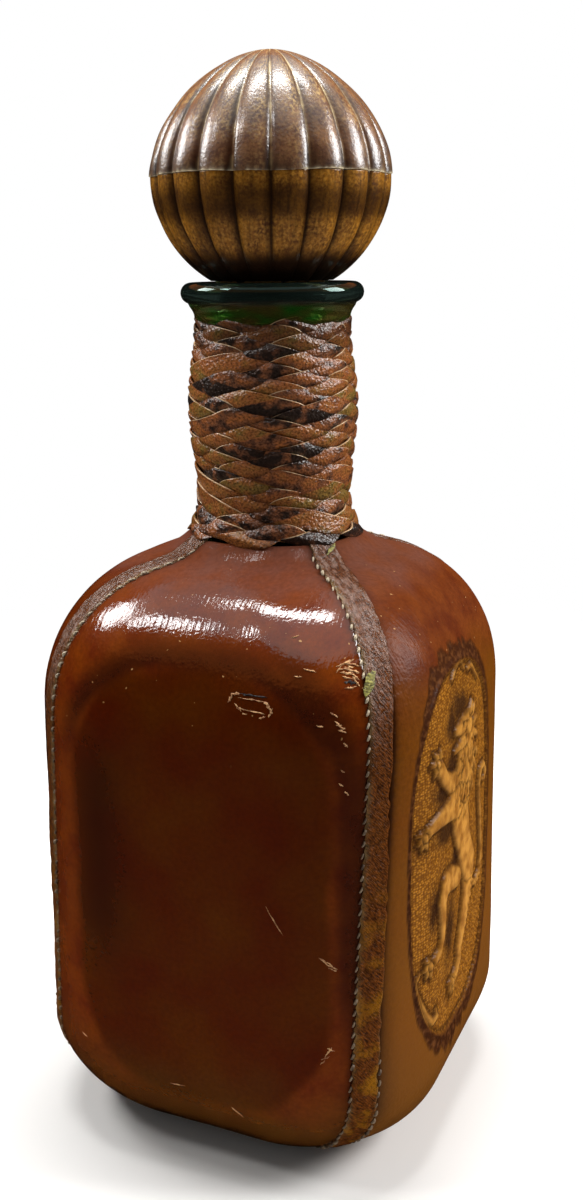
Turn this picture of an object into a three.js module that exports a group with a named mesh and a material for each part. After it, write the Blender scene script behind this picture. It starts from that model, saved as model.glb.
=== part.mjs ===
// Leather-wrapped decanter.
// A square glass bottle with rounded corners wears a sewn leather cover: four panels, a rough strip over
// each corner and a patch under the base. Leather strips are interlaced round its neck, and a ribbed
// leather ball on a cork closes it. Millimetres, +Z up, origin on the table under the middle of the base.
// The front panel faces -Y, and the panels follow anticlockwise: front, right, back, left.
import * as THREE from "three";

// Body, measured over the leather
const bodyWidth = 100;
const cornerRadius = 30.8;
const baseRoundWidth = 21.6;
const baseRoundHeight = 24.1;
const baseRoundPower = 1.7;
const baseCornerRadius = 20;
const wallHeight = 77.9;
const shoulderRise = 36;
const shoulderPower = 2.2;
const collarRadius = 20;
const panelTopInset = 2.2;

// Leather cover
const leatherThickness = 1.8;
const stripWidth = 7;
const threadDiameter = 0.7;
const threadClearance = 0.25;
const seamDriftAtBase = -4;
const seamDriftAtTop = 3.1;

// Glass
const glassWall = 3.5;
const neckRadius = 15.9;
const neckBulge = 1.85;
const neckHeight = 56;
const waistHeight = 13;
const neckFillet = 6;
const neckWall = 3;
const lipHeight = 8;
const lipOverhang = 6.1;
const lipSkirtOverhang = 3.3;
const lipBead = 2.5;
const lipBeadStart = -40;
const mouthChamfer = 0.8;

// Interlaced neck strips
const stripsEachWay = 8;
const braidRows = 12;
const neckStripThickness = 0.8;
const neckStripSpacing = 0.16;
const neckStripRamp = 0.28;
const braidFlare = 6.5;
const braidFlarePower = 1.7;

// Stopper
const ballRadius = 28.3;
const crownRise = 28.1;
const crownPower = 1.75;
const ballFootRim = 1.6;
const coverThickness = 2.4;
const ribCount = 20;
const ribDepth = 1.2;
const corkDepth = 25;
const corkTaper = 1.2;
const dowelRadius = 4;
const dowelInCork = 12;
const dowelInBall = 16;

// Clearances
const gap = 0.3;
const neckLiningGap = 0.4;

// Radii and heights worked out from the sizes above
const half = bodyWidth / 2;
const baseHalf = half - baseRoundWidth;
const seamWidth = threadDiameter + 2 * threadClearance;
const boreRadius = neckRadius - neckWall;
const corkRadius = boreRadius - gap;
const coverHole = corkRadius + gap;
const wallTop = baseRoundHeight + wallHeight;
const bodyTop = wallTop + shoulderRise;
const waistTop = bodyTop + waistHeight;
const lipFoot = bodyTop + neckHeight;
const mouthTop = lipFoot + lipHeight;
const ballFoot = mouthTop + gap;
const ballDrop = Math.sqrt(ballRadius ** 2 - (coverHole + ballFootRim) ** 2);
const ballSeam = ballFoot + ballDrop;

// Leather, glass and wood finishes
const cognacLeather = { color: 0x7a3f1c, roughness: 0.35, metalness: 0 };
const roughLeather = { color: 0x5a3a1c, roughness: 0.8, metalness: 0 };
const neckLeather = { color: 0x5b2a17, roughness: 0.5, metalness: 0 };
const ballLeather = { color: 0x8a5428, roughness: 0.35, metalness: 0 };
const waxedThread = { color: 0xb08a52, roughness: 0.7, metalness: 0 };
const bottleGlass = { color: 0x16291a, roughness: 0.05, metalness: 0 };
const corkBark = { color: 0xb98a5a, roughness: 0.9, metalness: 0 };
const turnedWood = { color: 0xc79a62, roughness: 0.7, metalness: 0 };

// How finely round shapes are divided
const baseSteps = 5;
const shoulderSteps = 7;
const panelCornerSteps = 3;
const bottleColumns = 36;
const filletSteps = 3;
const neckSteps = 4;
const lipBeadSteps = 4;
const threadSides = 6;
const ribSteps = 3;
const domeSteps = 8;
const liningSteps = 4;
const roundSides = 24;

const decanter = new THREE.Group();

function addPiece(name, geometry, finish) {
  const piece = new THREE.Mesh(geometry, new THREE.MeshStandardMaterial(finish));
  piece.name = name;
  decanter.add(piece);
}

// A closed skin over a row of rings. A ring of one point is a pole, the last ring can run back to the first,
// and any other end is capped by pairing the points of its ring across from each other.
function skin(rings, endless = false) {
  const points = rings.flat();
  const starts = [];
  rings.reduce((count, ring) => {
    starts.push(count);
    return count + ring.length;
  }, 0);
  const index = [];
  const bands = endless ? rings.length : rings.length - 1;
  for (let k = 0; k < bands; k++) {
    const next = (k + 1) % rings.length;
    band(points, index, starts[k], rings[k].length, starts[next], rings[next].length);
  }
  if (!endless) {
    cap(index, starts[0], rings[0].length, true);
    cap(index, starts[rings.length - 1], rings[rings.length - 1].length, false);
  }
  const geometry = new THREE.BufferGeometry().setFromPoints(points).setIndex(index);
  geometry.computeVertexNormals();
  return geometry;
}

// Two triangles a side between neighbouring rings, split along the shorter diagonal.
function band(points, index, low, lowCount, high, highCount) {
  const sides = Math.max(lowCount, highCount);
  for (let i = 0; i < sides; i++) {
    const j = (i + 1) % sides;
    if (lowCount === 1) {
      index.push(low, high + j, high + i);
    } else if (highCount === 1) {
      index.push(low + i, low + j, high);
    } else {
      const across = points[low + i].distanceTo(points[high + j]);
      const back = points[low + j].distanceTo(points[high + i]);
      if (across <= back) {
        index.push(low + i, low + j, high + j, low + i, high + j, high + i);
      } else {
        index.push(low + i, low + j, high + i, low + j, high + j, high + i);
      }
    }
  }
}

function cap(index, start, count, facesBack) {
  for (let i = 0; i + 1 < count / 2; i++) {
    const a = start + i;
    const b = start + i + 1;
    const c = start + count - 2 - i;
    const d = start + count - 1 - i;
    if (facesBack) {
      index.push(a, d, c, a, c, b);
    } else {
      index.push(a, b, c, a, c, d);
    }
  }
}

// A solid of revolution round the Z axis from [radius, height] pairs that start and end on the axis.
function turned(profile) {
  const points = profile.map(([radius, height]) => new THREE.Vector2(radius, height));
  return new THREE.LatheGeometry(points, roundSides).rotateX(Math.PI / 2);
}

// Stations of the body's outer profile, from the edge of the flat base up to the panels' top edge.
// Each holds the half width, the height, the outward normal and the corner radius of the section there.
// The base edge and the shoulder are superellipses.
function bodyStations() {
  const stations = [];
  const add = (h, z, nh, nz, corner) => {
    const length = Math.hypot(nh, nz);
    stations.push({ h, z, nh: nh / length, nz: nz / length, corner });
  };
  for (let i = 0; i <= baseSteps; i++) {
    const u = (i / baseSteps) * (Math.PI / 2);
    const out = Math.sin(u) ** (2 / baseRoundPower);
    const down = Math.cos(u) ** (2 / baseRoundPower);
    const nh = out ** (baseRoundPower - 1) / baseRoundWidth;
    const nz = -(down ** (baseRoundPower - 1)) / baseRoundHeight;
    const corner = THREE.MathUtils.lerp(baseCornerRadius, cornerRadius, out);
    add(baseHalf + baseRoundWidth * out, baseRoundHeight * (1 - down), nh, nz, corner);
  }
  const shoulderReach = half - collarRadius;
  const uEnd = Math.acos((panelTopInset / shoulderReach) ** (shoulderPower / 2));
  for (let i = 0; i <= shoulderSteps; i++) {
    const u = (i / shoulderSteps) * uEnd;
    const out = Math.cos(u) ** (2 / shoulderPower);
    const up = Math.sin(u) ** (2 / shoulderPower);
    const nh = out ** (shoulderPower - 1) / shoulderReach;
    const nz = up ** (shoulderPower - 1) / shoulderRise;
    const corner = THREE.MathUtils.lerp(collarRadius, cornerRadius, out);
    add(collarRadius + shoulderReach * out, wallTop + shoulderRise * up, nh, nz, corner);
  }
  return stations;
}

const stations = bodyStations();

// From the middle of a face to the middle of the next corner, along the outline of a section.
function toCorner(station) {
  return station.h - station.corner + station.corner * (Math.PI / 4);
}

// The hand-laid seams wander sideways as they climb.
function seamDrift(station) {
  return seamDriftAtBase + (seamDriftAtTop - seamDriftAtBase) * (station.z / bodyTop);
}

// A point of the cover: so far along the outline from the middle of a face, and so deep under the surface.
function onBody(station, face, along, depth) {
  const flat = station.h - station.corner;
  const turn = Math.max(0, Math.abs(along) - flat) / station.corner;
  const round = station.corner - depth * station.nh;
  const out = flat + round * Math.cos(turn);
  const aside = Math.min(Math.abs(along), flat) + round * Math.sin(turn);
  const side = Math.sign(along) * aside;
  const facing = (face - 1) * (Math.PI / 2);
  return new THREE.Vector3(
    out * Math.cos(facing) - side * Math.sin(facing),
    out * Math.sin(facing) + side * Math.cos(facing),
    station.z - depth * station.nz,
  );
}

// A leather piece: at each station its outer edge runs forward along the outline and its inner edge back.
function leather(face, alongsAt) {
  return skin(
    stations.map((station) => {
      const alongs = alongsAt(station);
      const outer = alongs.map((along) => onBody(station, face, along, 0));
      const inner = alongs.map((along) => onBody(station, face, along, leatherThickness));
      return [...outer, ...inner.reverse()];
    }),
  );
}

function panel(face) {
  return leather(face, (station) => {
    const flat = station.h - station.corner;
    const reach = toCorner(station) - stripWidth / 2 - seamWidth;
    const drift = seamDrift(station);
    const alongs = [];
    for (let i = 0; i <= panelCornerSteps; i++) {
      alongs.push(THREE.MathUtils.lerp(drift - reach, -flat, i / panelCornerSteps));
    }
    alongs.push(0);
    for (let i = 0; i <= panelCornerSteps; i++) {
      alongs.push(THREE.MathUtils.lerp(flat, drift + reach, i / panelCornerSteps));
    }
    return alongs;
  });
}

function cornerStrip(face) {
  return leather(face, (station) => {
    const middle = toCorner(station) + seamDrift(station);
    return [middle - stripWidth / 2, middle, middle + stripWidth / 2];
  });
}

// A thread lies in the middle of its seam, on one side of a corner strip, flush with the leather.
function seamThread(face, side) {
  const radius = threadDiameter / 2;
  return skin(
    stations.map((station) => {
      const middle = toCorner(station) + seamDrift(station) + (side * (stripWidth + seamWidth)) / 2;
      return Array.from({ length: threadSides }, (_, i) => {
        const turn = ((i + 0.5) / threadSides) * 2 * Math.PI;
        return onBody(station, face, middle + radius * Math.cos(turn), radius + radius * Math.sin(turn));
      });
    }),
  );
}

// The flat patch fills the square that the panels leave open under the base.
function basePatch() {
  const edge = baseHalf - gap;
  const corner = baseCornerRadius - gap;
  const flat = edge - corner;
  const outline = new THREE.Shape();
  outline.absarc(flat, flat, corner, 0, Math.PI / 2);
  outline.absarc(-flat, flat, corner, Math.PI / 2, Math.PI);
  outline.absarc(-flat, -flat, corner, Math.PI, 1.5 * Math.PI);
  outline.absarc(flat, -flat, corner, 1.5 * Math.PI, 2 * Math.PI);
  return new THREE.ExtrudeGeometry(outline, {
    depth: leatherThickness,
    bevelEnabled: false,
    curveSegments: baseSteps,
  });
}

// The neck swells a little between its waist and the lip.
function neckRadiusAt(z) {
  if (z <= waistTop) return neckRadius;
  return neckRadius + neckBulge * Math.sin((Math.PI * (z - waistTop)) / (lipFoot - waistTop)) ** 2;
}

// The bottle is one skin: up the outside, over the lip and down the inside.
function bottle() {
  const columnsPerFace = bottleColumns / 4;
  const bodyRing = (station, depth) =>
    [0, 1, 2, 3].flatMap((face) =>
      Array.from({ length: columnsPerFace }, (_, i) =>
        onBody(station, face, toCorner(station) * ((2 * i) / columnsPerFace - 1), depth),
      ),
    );
  const roundRing = (radius, z) =>
    Array.from({ length: bottleColumns }, (_, i) => {
      const turn = ((2 * i) / bottleColumns - 0.75) * Math.PI;
      return new THREE.Vector3(radius * Math.cos(turn), radius * Math.sin(turn), z);
    });
  const outside = leatherThickness + gap;
  const inside = outside + glassWall;
  const top = stations[stations.length - 1];
  const filletTop = top.z - outside * top.nz + neckFillet;
  const fillet = (depth, radius) => {
    const startRadius = top.h - depth * top.nh;
    const startZ = top.z - depth * top.nz;
    return Array.from({ length: filletSteps }, (_, i) => {
      const turn = ((i + 1) / filletSteps) * (Math.PI / 2);
      return roundRing(
        THREE.MathUtils.lerp(startRadius, radius, Math.sin(turn)),
        THREE.MathUtils.lerp(filletTop, startZ, Math.cos(turn)),
      );
    });
  };
  const neck = Array.from({ length: neckSteps + 1 }, (_, i) => {
    const z = THREE.MathUtils.lerp(waistTop, lipFoot, i / neckSteps);
    return roundRing(neckRadiusAt(z), z);
  });
  const beadMiddle = neckRadius + lipOverhang - lipBead;
  const bead = Array.from({ length: lipBeadSteps + 1 }, (_, i) => {
    const turn = THREE.MathUtils.degToRad(THREE.MathUtils.lerp(lipBeadStart, 90, i / lipBeadSteps));
    return roundRing(beadMiddle + lipBead * Math.cos(turn), mouthTop - lipBead + lipBead * Math.sin(turn));
  });
  return skin([
    [new THREE.Vector3(0, 0, outside)],
    ...stations.map((station) => bodyRing(station, outside)),
    ...fillet(outside, neckRadius),
    ...neck,
    roundRing(neckRadius + lipSkirtOverhang, lipFoot),
    ...bead,
    roundRing(boreRadius + mouthChamfer, mouthTop),
    roundRing(boreRadius, mouthTop - mouthChamfer),
    ...fillet(inside, boreRadius).reverse(),
    ...stations.map((station) => bodyRing(station, inside)).reverse(),
    [new THREE.Vector3(0, 0, inside)],
  ]);
}

// Neck strips follow a slanted lattice: p grows to the right and down, q to the right and up, and strips
// lie on whole values of p or q. At each crossing one passes outside the other, turn about, and between
// two crossings it slopes from one level to the other. Spacing and ramp are shares of a lattice step.
const halfStrip = (1 - neckStripSpacing) / 2;
const halfCrossing = (1 - neckStripRamp) / 2;
const braidRoom = lipFoot - bodyTop - 2 * gap;
const rowHeight = braidRoom / (braidRows + halfStrip);
const braidFoot = bodyTop + gap + (halfStrip * rowHeight) / 2;
const slopeAtEdge = Math.max(0, halfStrip - halfCrossing) / neckStripRamp;
const weaveDepth = (neckStripThickness + gap) / (2 * (1 - 2 * slopeAtEdge));

function braidRadius(z) {
  const lining = neckRadiusAt(z) + neckLiningGap + neckStripThickness / 2 + weaveDepth;
  const below = Math.max(0, waistTop - z) / (waistTop - bodyTop);
  return lining + braidFlare * below ** braidFlarePower;
}

function latticePoint(p, q, lift) {
  const turn = ((p + q) * Math.PI) / stripsEachWay;
  const z = braidFoot + ((q - p) * rowHeight) / 2;
  const radius = braidRadius(z) + lift;
  return new THREE.Vector3(radius * Math.cos(turn), radius * Math.sin(turn), z);
}

// Places along a strip where its level changes, with the side of each crossing: 1 outside, -1 inside.
function crossings(first) {
  const places = [];
  const last = 2 * braidRows;
  for (let n = 0; n <= last; n++) {
    const level = (n + first) % 2 === 0 ? 1 : -1;
    if (n > 0) places.push([n - halfCrossing, level]);
    if (n === 0 || n === last) places.push([n, level]);
    if (n < last) places.push([n + halfCrossing, level]);
  }
  return places;
}

function neckStrip(number, rises) {
  return skin(
    crossings(rises ? 0 : 1).map(([step, level]) => {
      const at = (aside, thickness) => {
        const lift = level * weaveDepth + thickness * neckStripThickness;
        return rises
          ? latticePoint(number + aside, number + step, lift)
          : latticePoint(number - step, number + aside, lift);
      };
      return [
        at(-halfStrip, 0.5),
        at(halfStrip, 0.5),
        at(halfStrip, -0.5),
        at(-halfStrip, -0.5),
      ];
    }),
  );
}

// The ball's upper half is a superellipse, a little pointed, and its lower half is part of a sphere.
// Ribs stand out between creases, and the creases grow shallow towards the poles.
function ribRing(radius, z, depth) {
  const columns = ribCount * ribSteps;
  return Array.from({ length: columns }, (_, i) => {
    const turn = (i / columns) * 2 * Math.PI;
    const offCrest = 2 * ((i % ribSteps) / ribSteps) - 1;
    const crease = depth * (1 - Math.sqrt(1 - offCrest ** 2)) * (radius / ballRadius);
    return new THREE.Vector3((radius - crease) * Math.cos(turn), (radius - crease) * Math.sin(turn), z);
  });
}

function domePoint(u, inset) {
  const out = Math.cos(u) ** (2 / crownPower);
  const up = Math.sin(u) ** (2 / crownPower);
  return [(ballRadius - inset) * out, ballSeam + (crownRise - inset) * up];
}

// Even shares of a quarter turn from the seam towards a pole, without the pole itself.
function sharesTo(steps) {
  return Array.from({ length: steps }, (_, i) => i / steps);
}

function upperCover() {
  const lift = new THREE.Vector3(0, 0, gap / 2);
  const quarter = Math.PI / 2;
  const outer = sharesTo(domeSteps).map((share) => ribRing(...domePoint(share * quarter, 0), ribDepth));
  const inner = sharesTo(liningSteps).map((share) => {
    return ribRing(...domePoint(share * quarter, coverThickness), 0);
  });
  const poles = [coverThickness, 0].map((inset) => [new THREE.Vector3(0, 0, ballSeam + crownRise - inset)]);
  const rings = [poles[0], ...inner.reverse(), ...outer, poles[1]];
  rings.flat().forEach((point) => point.add(lift));
  return skin(rings);
}

function lowerCover() {
  const lift = new THREE.Vector3(0, 0, -gap / 2);
  const footTurn = Math.asin((ballDrop - gap / 2) / ballRadius);
  const innerRadius = ballRadius - coverThickness;
  const holeTurn = Math.acos(coverHole / innerRadius);
  const sphereRing = (radius, turn, depth) =>
    ribRing(radius * Math.cos(turn), ballSeam - radius * Math.sin(turn), depth);
  const outer = [...sharesTo(domeSteps - 1), 1].map((share) => {
    return sphereRing(ballRadius, share * footTurn, ribDepth);
  });
  const inner = [...sharesTo(liningSteps), 1].map((share) => {
    return sphereRing(innerRadius, share * holeTurn, 0);
  });
  const hole = ribRing(coverHole, ballFoot + gap / 2, 0);
  const rings = [...inner, hole, ...outer.reverse()];
  rings.flat().forEach((point) => point.add(lift));
  return skin(rings, true);
}

const coreInset = coverThickness + gap;
const coreRadius = ballRadius - coreInset;
const coreFlat = ballSeam - Math.sqrt(coreRadius ** 2 - coverHole ** 2);
const dowelFoot = mouthTop - dowelInCork;
const dowelTop = coreFlat + dowelInBall;
const dowelHole = dowelRadius + gap;

function core() {
  const flatTurn = Math.asin((ballSeam - coreFlat) / coreRadius);
  const lower = [...sharesTo(liningSteps).slice(1), 1].reverse().map((share) => [
    coreRadius * Math.cos(share * flatTurn),
    ballSeam - coreRadius * Math.sin(share * flatTurn),
  ]);
  const upper = sharesTo(liningSteps).map((share) => domePoint(share * (Math.PI / 2), coreInset));
  return turned([
    [0, dowelTop + gap],
    [dowelHole, dowelTop + gap],
    [dowelHole, coreFlat],
    ...lower,
    ...upper,
    [0, ballSeam + crownRise - coreInset],
  ]);
}

function cork() {
  const corkTop = coreFlat - gap;
  return turned([
    [0, mouthTop - corkDepth],
    [corkRadius - corkTaper, mouthTop - corkDepth],
    [corkRadius, mouthTop],
    [corkRadius, corkTop],
    [dowelHole, corkTop],
    [dowelHole, dowelFoot - gap],
    [0, dowelFoot - gap],
  ]);
}

function dowel() {
  return turned([
    [0, dowelFoot],
    [dowelRadius, dowelFoot],
    [dowelRadius, dowelTop],
    [0, dowelTop],
  ]);
}

addPiece("glass_bottle", bottle(), bottleGlass);
addPiece("base_patch", basePatch(), cognacLeather);

const faceNames = ["front", "right", "back", "left"];
const cornerNames = ["front_right", "back_right", "back_left", "front_left"];
faceNames.forEach((name, face) => {
  addPiece(`${name}_panel`, panel(face), cognacLeather);
});
cornerNames.forEach((name, face) => {
  addPiece(`corner_strip_${name}`, cornerStrip(face), roughLeather);
  addPiece(`seam_thread_${name}_1`, seamThread(face, -1), waxedThread);
  addPiece(`seam_thread_${name}_2`, seamThread(face, 1), waxedThread);
});
for (let number = 1; number <= stripsEachWay; number++) {
  addPiece(`neck_strip_rising_${number}`, neckStrip(number, true), neckLeather);
  addPiece(`neck_strip_falling_${number}`, neckStrip(number, false), neckLeather);
}
addPiece("stopper_upper_cover", upperCover(), ballLeather);
addPiece("stopper_lower_cover", lowerCover(), ballLeather);
addPiece("stopper_core", core(), turnedWood);
addPiece("stopper_cork", cork(), corkBark);
addPiece("stopper_dowel", dowel(), turnedWood);

export default decanter;
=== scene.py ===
import math
import bmesh
import bpy
import numpy as np
from mathutils import Matrix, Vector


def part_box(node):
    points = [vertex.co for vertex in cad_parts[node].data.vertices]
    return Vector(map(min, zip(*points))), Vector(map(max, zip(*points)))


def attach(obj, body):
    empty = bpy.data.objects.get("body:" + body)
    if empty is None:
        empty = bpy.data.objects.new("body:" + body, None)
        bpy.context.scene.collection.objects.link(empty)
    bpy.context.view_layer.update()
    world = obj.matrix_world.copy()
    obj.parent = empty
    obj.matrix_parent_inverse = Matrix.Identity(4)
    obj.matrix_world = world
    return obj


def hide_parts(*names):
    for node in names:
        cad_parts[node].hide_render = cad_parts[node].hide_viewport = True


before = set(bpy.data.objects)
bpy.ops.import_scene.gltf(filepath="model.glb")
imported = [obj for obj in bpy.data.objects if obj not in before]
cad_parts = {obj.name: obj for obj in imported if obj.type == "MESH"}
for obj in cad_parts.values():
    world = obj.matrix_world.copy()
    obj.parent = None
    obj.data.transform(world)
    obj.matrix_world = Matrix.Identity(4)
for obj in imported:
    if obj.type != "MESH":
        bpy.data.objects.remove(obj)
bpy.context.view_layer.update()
mm = 0.001  # shapes are worked out in millimetres and written in metres


# smoothstep: 0 below low, 1 above high, 3t² - 2t³ between
def ease(low, high, value):
    t = np.clip((value - low) / (high - low), 0, 1)
    return t * t * (3 - 2 * t)


# value noise from -1 to 1: random heights on a unit lattice that repeats, joined by smoothsteps
def mottle(x, y, seed):
    wide, tall = 97, 89
    heights = np.random.default_rng(seed).uniform(-1, 1, (wide, tall))
    column, row = np.floor(x).astype(int), np.floor(y).astype(int)
    u, v = ease(0, 1, x - column), ease(0, 1, y - row)
    left, right, low, high = column % wide, (column + 1) % wide, row % tall, (row + 1) % tall
    near = heights[left, low] * (1 - u) + heights[right, low] * u
    far = heights[left, high] * (1 - u) + heights[right, high] * u
    return near * (1 - v) + far * v


# x, y and z of any shapes that fit together, joined into points
def pointsAt(x, y, z):
    return np.stack(np.broadcast_arrays(x, y, z), -1)


# points round the bottle's axis: the radius times the cosine and sine of the turn
def roundAxis(radius, turn, height):
    return pointsAt(radius * np.cos(turn), radius * np.sin(turn), height)


# equal angles once round, as one row
def fullTurn(columns):
    return (2 * np.pi * np.arange(columns) / columns)[None]


# quads of a grid whose rows climb and whose columns run to the right, seen from outside
def gridFaces(rows, columns, start=0, wrap=False):
    row = np.arange(rows - 1)[:, None] * columns
    column = np.arange(columns if wrap else columns - 1)[None]
    after = (column + 1) % columns
    quads = np.stack([row + column, row + after, row + columns + after, row + columns + column], -1)
    return start + quads.reshape(-1, 4)


# an outer grid and an inner one that meet all round their edge
def shellFaces(rows, columns):
    inner = gridFaces(rows, columns, rows * columns)
    return np.vstack([gridFaces(rows, columns), inner[:, ::-1]])


# points in mm and their quads become a smooth mesh; equal points are merged, which closes poles and seams
# each layer spreads over the points as an attribute: lay is a place in mm, the others are shares
def makePiece(name, points, faces, material, **layers):
    points = np.asarray(points, float)
    mesh = bpy.data.meshes.new(name)
    mesh.from_pydata(points.reshape(-1, 3) * mm, [], faces)
    for key, values in layers.items():
        isVector = key == "lay"
        spread = np.broadcast_to(values, points.shape if isVector else points.shape[:-1])
        layer = mesh.attributes.new(key, "FLOAT_VECTOR" if isVector else "FLOAT", "POINT")
        layer.data.foreach_set("vector" if isVector else "value", spread.astype(np.float32).ravel())
    work = bmesh.new()
    work.from_mesh(mesh)
    bmesh.ops.remove_doubles(work, verts=work.verts, dist=0.002 * mm)
    work.to_mesh(mesh)
    work.free()
    mesh.shade_smooth()
    mesh.materials.append(material)
    piece = bpy.data.objects.new(name, mesh)
    bpy.context.scene.collection.objects.link(piece)
    return piece


# a piece rides on its body and stands in for its nodes
def dress(piece, carrier, finish, *nodes):
    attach(piece, carrier)
    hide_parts(*nodes)


# sRGB hex to linear RGBA
def toLinear(hexColour):
    values = [int(hexColour[i:i + 2], 16) / 255 for i in (1, 3, 5)]
    return [v / 12.92 if v <= 0.04045 else ((v + 0.055) / 1.055) ** 2.4 for v in values] + [1.0]


# adds a shader node with its settings; a node given as an input is linked by its first open output,
# a hex colour becomes linear, anything else is the value; stops are the places and colours of a ramp
def addNode(tree, kind, inputs=None, stops=(), **settings):
    node = tree.nodes.new("ShaderNode" + kind)
    for key, value in settings.items():
        setattr(node, key, value)
    for key, value in (inputs or {}).items():
        if isinstance(value, bpy.types.Node):
            value = next(socket for socket in value.outputs if socket.enabled)
        if isinstance(value, bpy.types.NodeSocket):
            tree.links.new(value, node.inputs[key])
        else:
            node.inputs[key].default_value = toLinear(value) if isinstance(value, str) else value
    for index, (place, colour) in enumerate(stops):
        elements = node.color_ramp.elements
        stop = elements[index] if index < 2 else elements.new(place)
        stop.position = place
        stop.color = toLinear(colour)
    return node


# an empty material, its tree, and nodes that read the mesh's attributes
def startMaterial(name, *attributes):
    material = bpy.data.materials.new(name)
    material.use_nodes = True
    tree = material.node_tree
    tree.nodes.clear()
    return material, tree, *(addNode(tree, "Attribute", attribute_name=key) for key in attributes)


# the piece's own coordinates in mm, for what is cast or grown and has no lay
def inMillimetres(tree):
    coords = addNode(tree, "TexCoord").outputs["Object"]
    return addNode(tree, "VectorMath", {0: coords, 1: (1 / mm, 1 / mm, 1 / mm)}, operation="MULTIPLY")


# lays each tint over the colour by its share, then makes the Principled surface and its bump
# fixed values go on the surface's own sockets
def finishMaterial(tree, colour, tints, roughness, height, bumpDepth, gloss=0.0, **sockets):
    for share, tint in tints:
        colour = addNode(tree, "Mix", {0: share, 6: colour, 7: tint}, data_type="RGBA")
    bump = addNode(tree, "Bump", {"Strength": 1.0, "Distance": bumpDepth * mm, "Height": height})
    surface = addNode(tree, "BsdfPrincipled", {"Base Color": colour, "Roughness": roughness, "Normal": bump,
                                               "Coat Normal": bump, "Coat Weight": gloss})
    for key, value in sockets.items():
        surface.inputs[key.replace("_", " ")].default_value = value
    addNode(tree, "OutputMaterial", {"Surface": surface})


# the body's outer profile in mm; its foot and walls are the frame's, its top is drawn up against the neck
body = {
    "half": 50.0, "cornerRadius": 30.8, "leather": 1.8,
    "baseRound": (21.6, 24.1), "basePower": 1.7, "baseCorner": 20.0,
    "wallHeight": 77.9, "shoulderRise": 36.0, "shoulderPower": 2.2, "collarRadius": 20.0, "topInset": 2.2,
    "climbFrom": 29.0, "climb": (0.8, 4.2), "drawIn": 2.6, "cornerDraw": 1.1,
    "stripHalf": 3.5, "seamDrift": (-4.0, 3.1),
}
baseHalf = body["half"] - body["baseRound"][0]
wallTop = body["baseRound"][1] + body["wallHeight"]
bodyTop = wallTop + body["shoulderRise"]
shoulderReach = body["half"] - body["collarRadius"]
shoulderEnd = math.acos((body["topInset"] / shoulderReach) ** (body["shoulderPower"] / 2))
collarEnd = body["collarRadius"] + body["topInset"]


# t runs up the profile: 0 to 1 the rounded base, 1 to 2 the wall, 2 to 3 the shoulder; both rounds are
# superellipses, and the last of the shoulder is drawn in and up against the neck by a fourth power
# gives the half width, height, outward normal and corner radius there
def bodyProfile(t):
    u = np.clip(t, 0, 1) * np.pi / 2
    v = np.clip(t - 2, 0, 1) * shoulderEnd
    basePower, topPower = body["basePower"], body["shoulderPower"]
    baseOut, baseDown = np.sin(u) ** (2 / basePower), np.abs(np.cos(u)) ** (2 / basePower)
    topOut, topUp = np.cos(v) ** (2 / topPower), np.sin(v) ** (2 / topPower)
    isBase, isTop = t < 1, t > 2
    half = np.where(isBase, baseHalf + body["baseRound"][0] * baseOut,
                    body["collarRadius"] + shoulderReach * topOut)
    wall = body["baseRound"][1] + np.clip(t - 1, 0, 1) * body["wallHeight"]
    height = np.where(isBase, body["baseRound"][1] * (1 - baseDown), wall + body["shoulderRise"] * topUp)
    normalOut = np.where(isBase, baseOut ** (basePower - 1) / body["baseRound"][0],
                         topOut ** (topPower - 1) / shoulderReach)
    normalUp = np.where(isBase, -(baseDown ** (basePower - 1)) / body["baseRound"][1],
                        np.where(isTop, topUp ** (topPower - 1) / body["shoulderRise"], 0))
    length = np.hypot(normalOut, normalUp)
    share = np.where(isBase, baseOut, topOut)
    lowCorner = np.where(isBase, body["baseCorner"], body["collarRadius"])
    corner = lowCorner + (body["cornerRadius"] - lowCorner) * share
    near = np.where(isTop, np.clip((body["climbFrom"] - half) / (body["climbFrom"] - collarEnd), 0, 1), 0)
    height = height + body["climb"][0] * near + body["climb"][1] * near ** 4
    half = half - body["drawIn"] * near ** 4
    corner = corner - body["cornerDraw"] * body["drawIn"] * near ** 4
    return half, height, normalOut / length, normalUp / length, corner


# the way up the profile in mm, to space rows by length and to find a row by its height
profileSteps = np.linspace(0, 3, 3001)
stepHalf, stepHeight = bodyProfile(profileSteps)[:2]
profilePath = np.concatenate([[0], np.cumsum(np.hypot(np.diff(stepHalf), np.diff(stepHeight)))])
pathLength = profilePath[-1]


def stepAtPath(path):
    return np.interp(path, profilePath, profileSteps)


def pathAtHeight(height):
    return np.interp(height, stepHeight, profilePath)


# along the outline from the middle of a face to the middle of the next corner, and the seam's sideways drift,
# which grows evenly with the height
def seamPlace(t):
    half, height, _, _, corner = bodyProfile(t)
    low, high = body["seamDrift"]
    return half - corner + corner * np.pi / 4, low + (high - low) * height / bodyTop


# a point of the cover: so far along the outline from the middle of a face, so deep under the surface;
# the outline is straight, then an arc of the corner's radius
# faces count anticlockwise from above: 0 front, 1 right, 2 back, 3 left
def onCover(face, along, t, depth):
    half, height, normalOut, normalUp, corner = bodyProfile(t)
    flat = half - corner
    turn = np.maximum(0, np.abs(along) - flat) / corner
    bend = corner - depth * normalOut
    out = flat + bend * np.cos(turn)
    side = np.sign(along) * (np.minimum(np.abs(along), flat) + bend * np.sin(turn))
    facing = (face - 1) * np.pi / 2
    x = out * np.cos(facing) - side * np.sin(facing)
    y = out * np.sin(facing) + side * np.cos(facing)
    return pointsAt(x, y, height - depth * normalUp)


# where a piece's pattern lies, in mm along and up the surface; each face has its own stretch of the pattern
def layOnFace(face, along, path):
    return pointsAt(along + 200.0 * face, path, 0)
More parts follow.
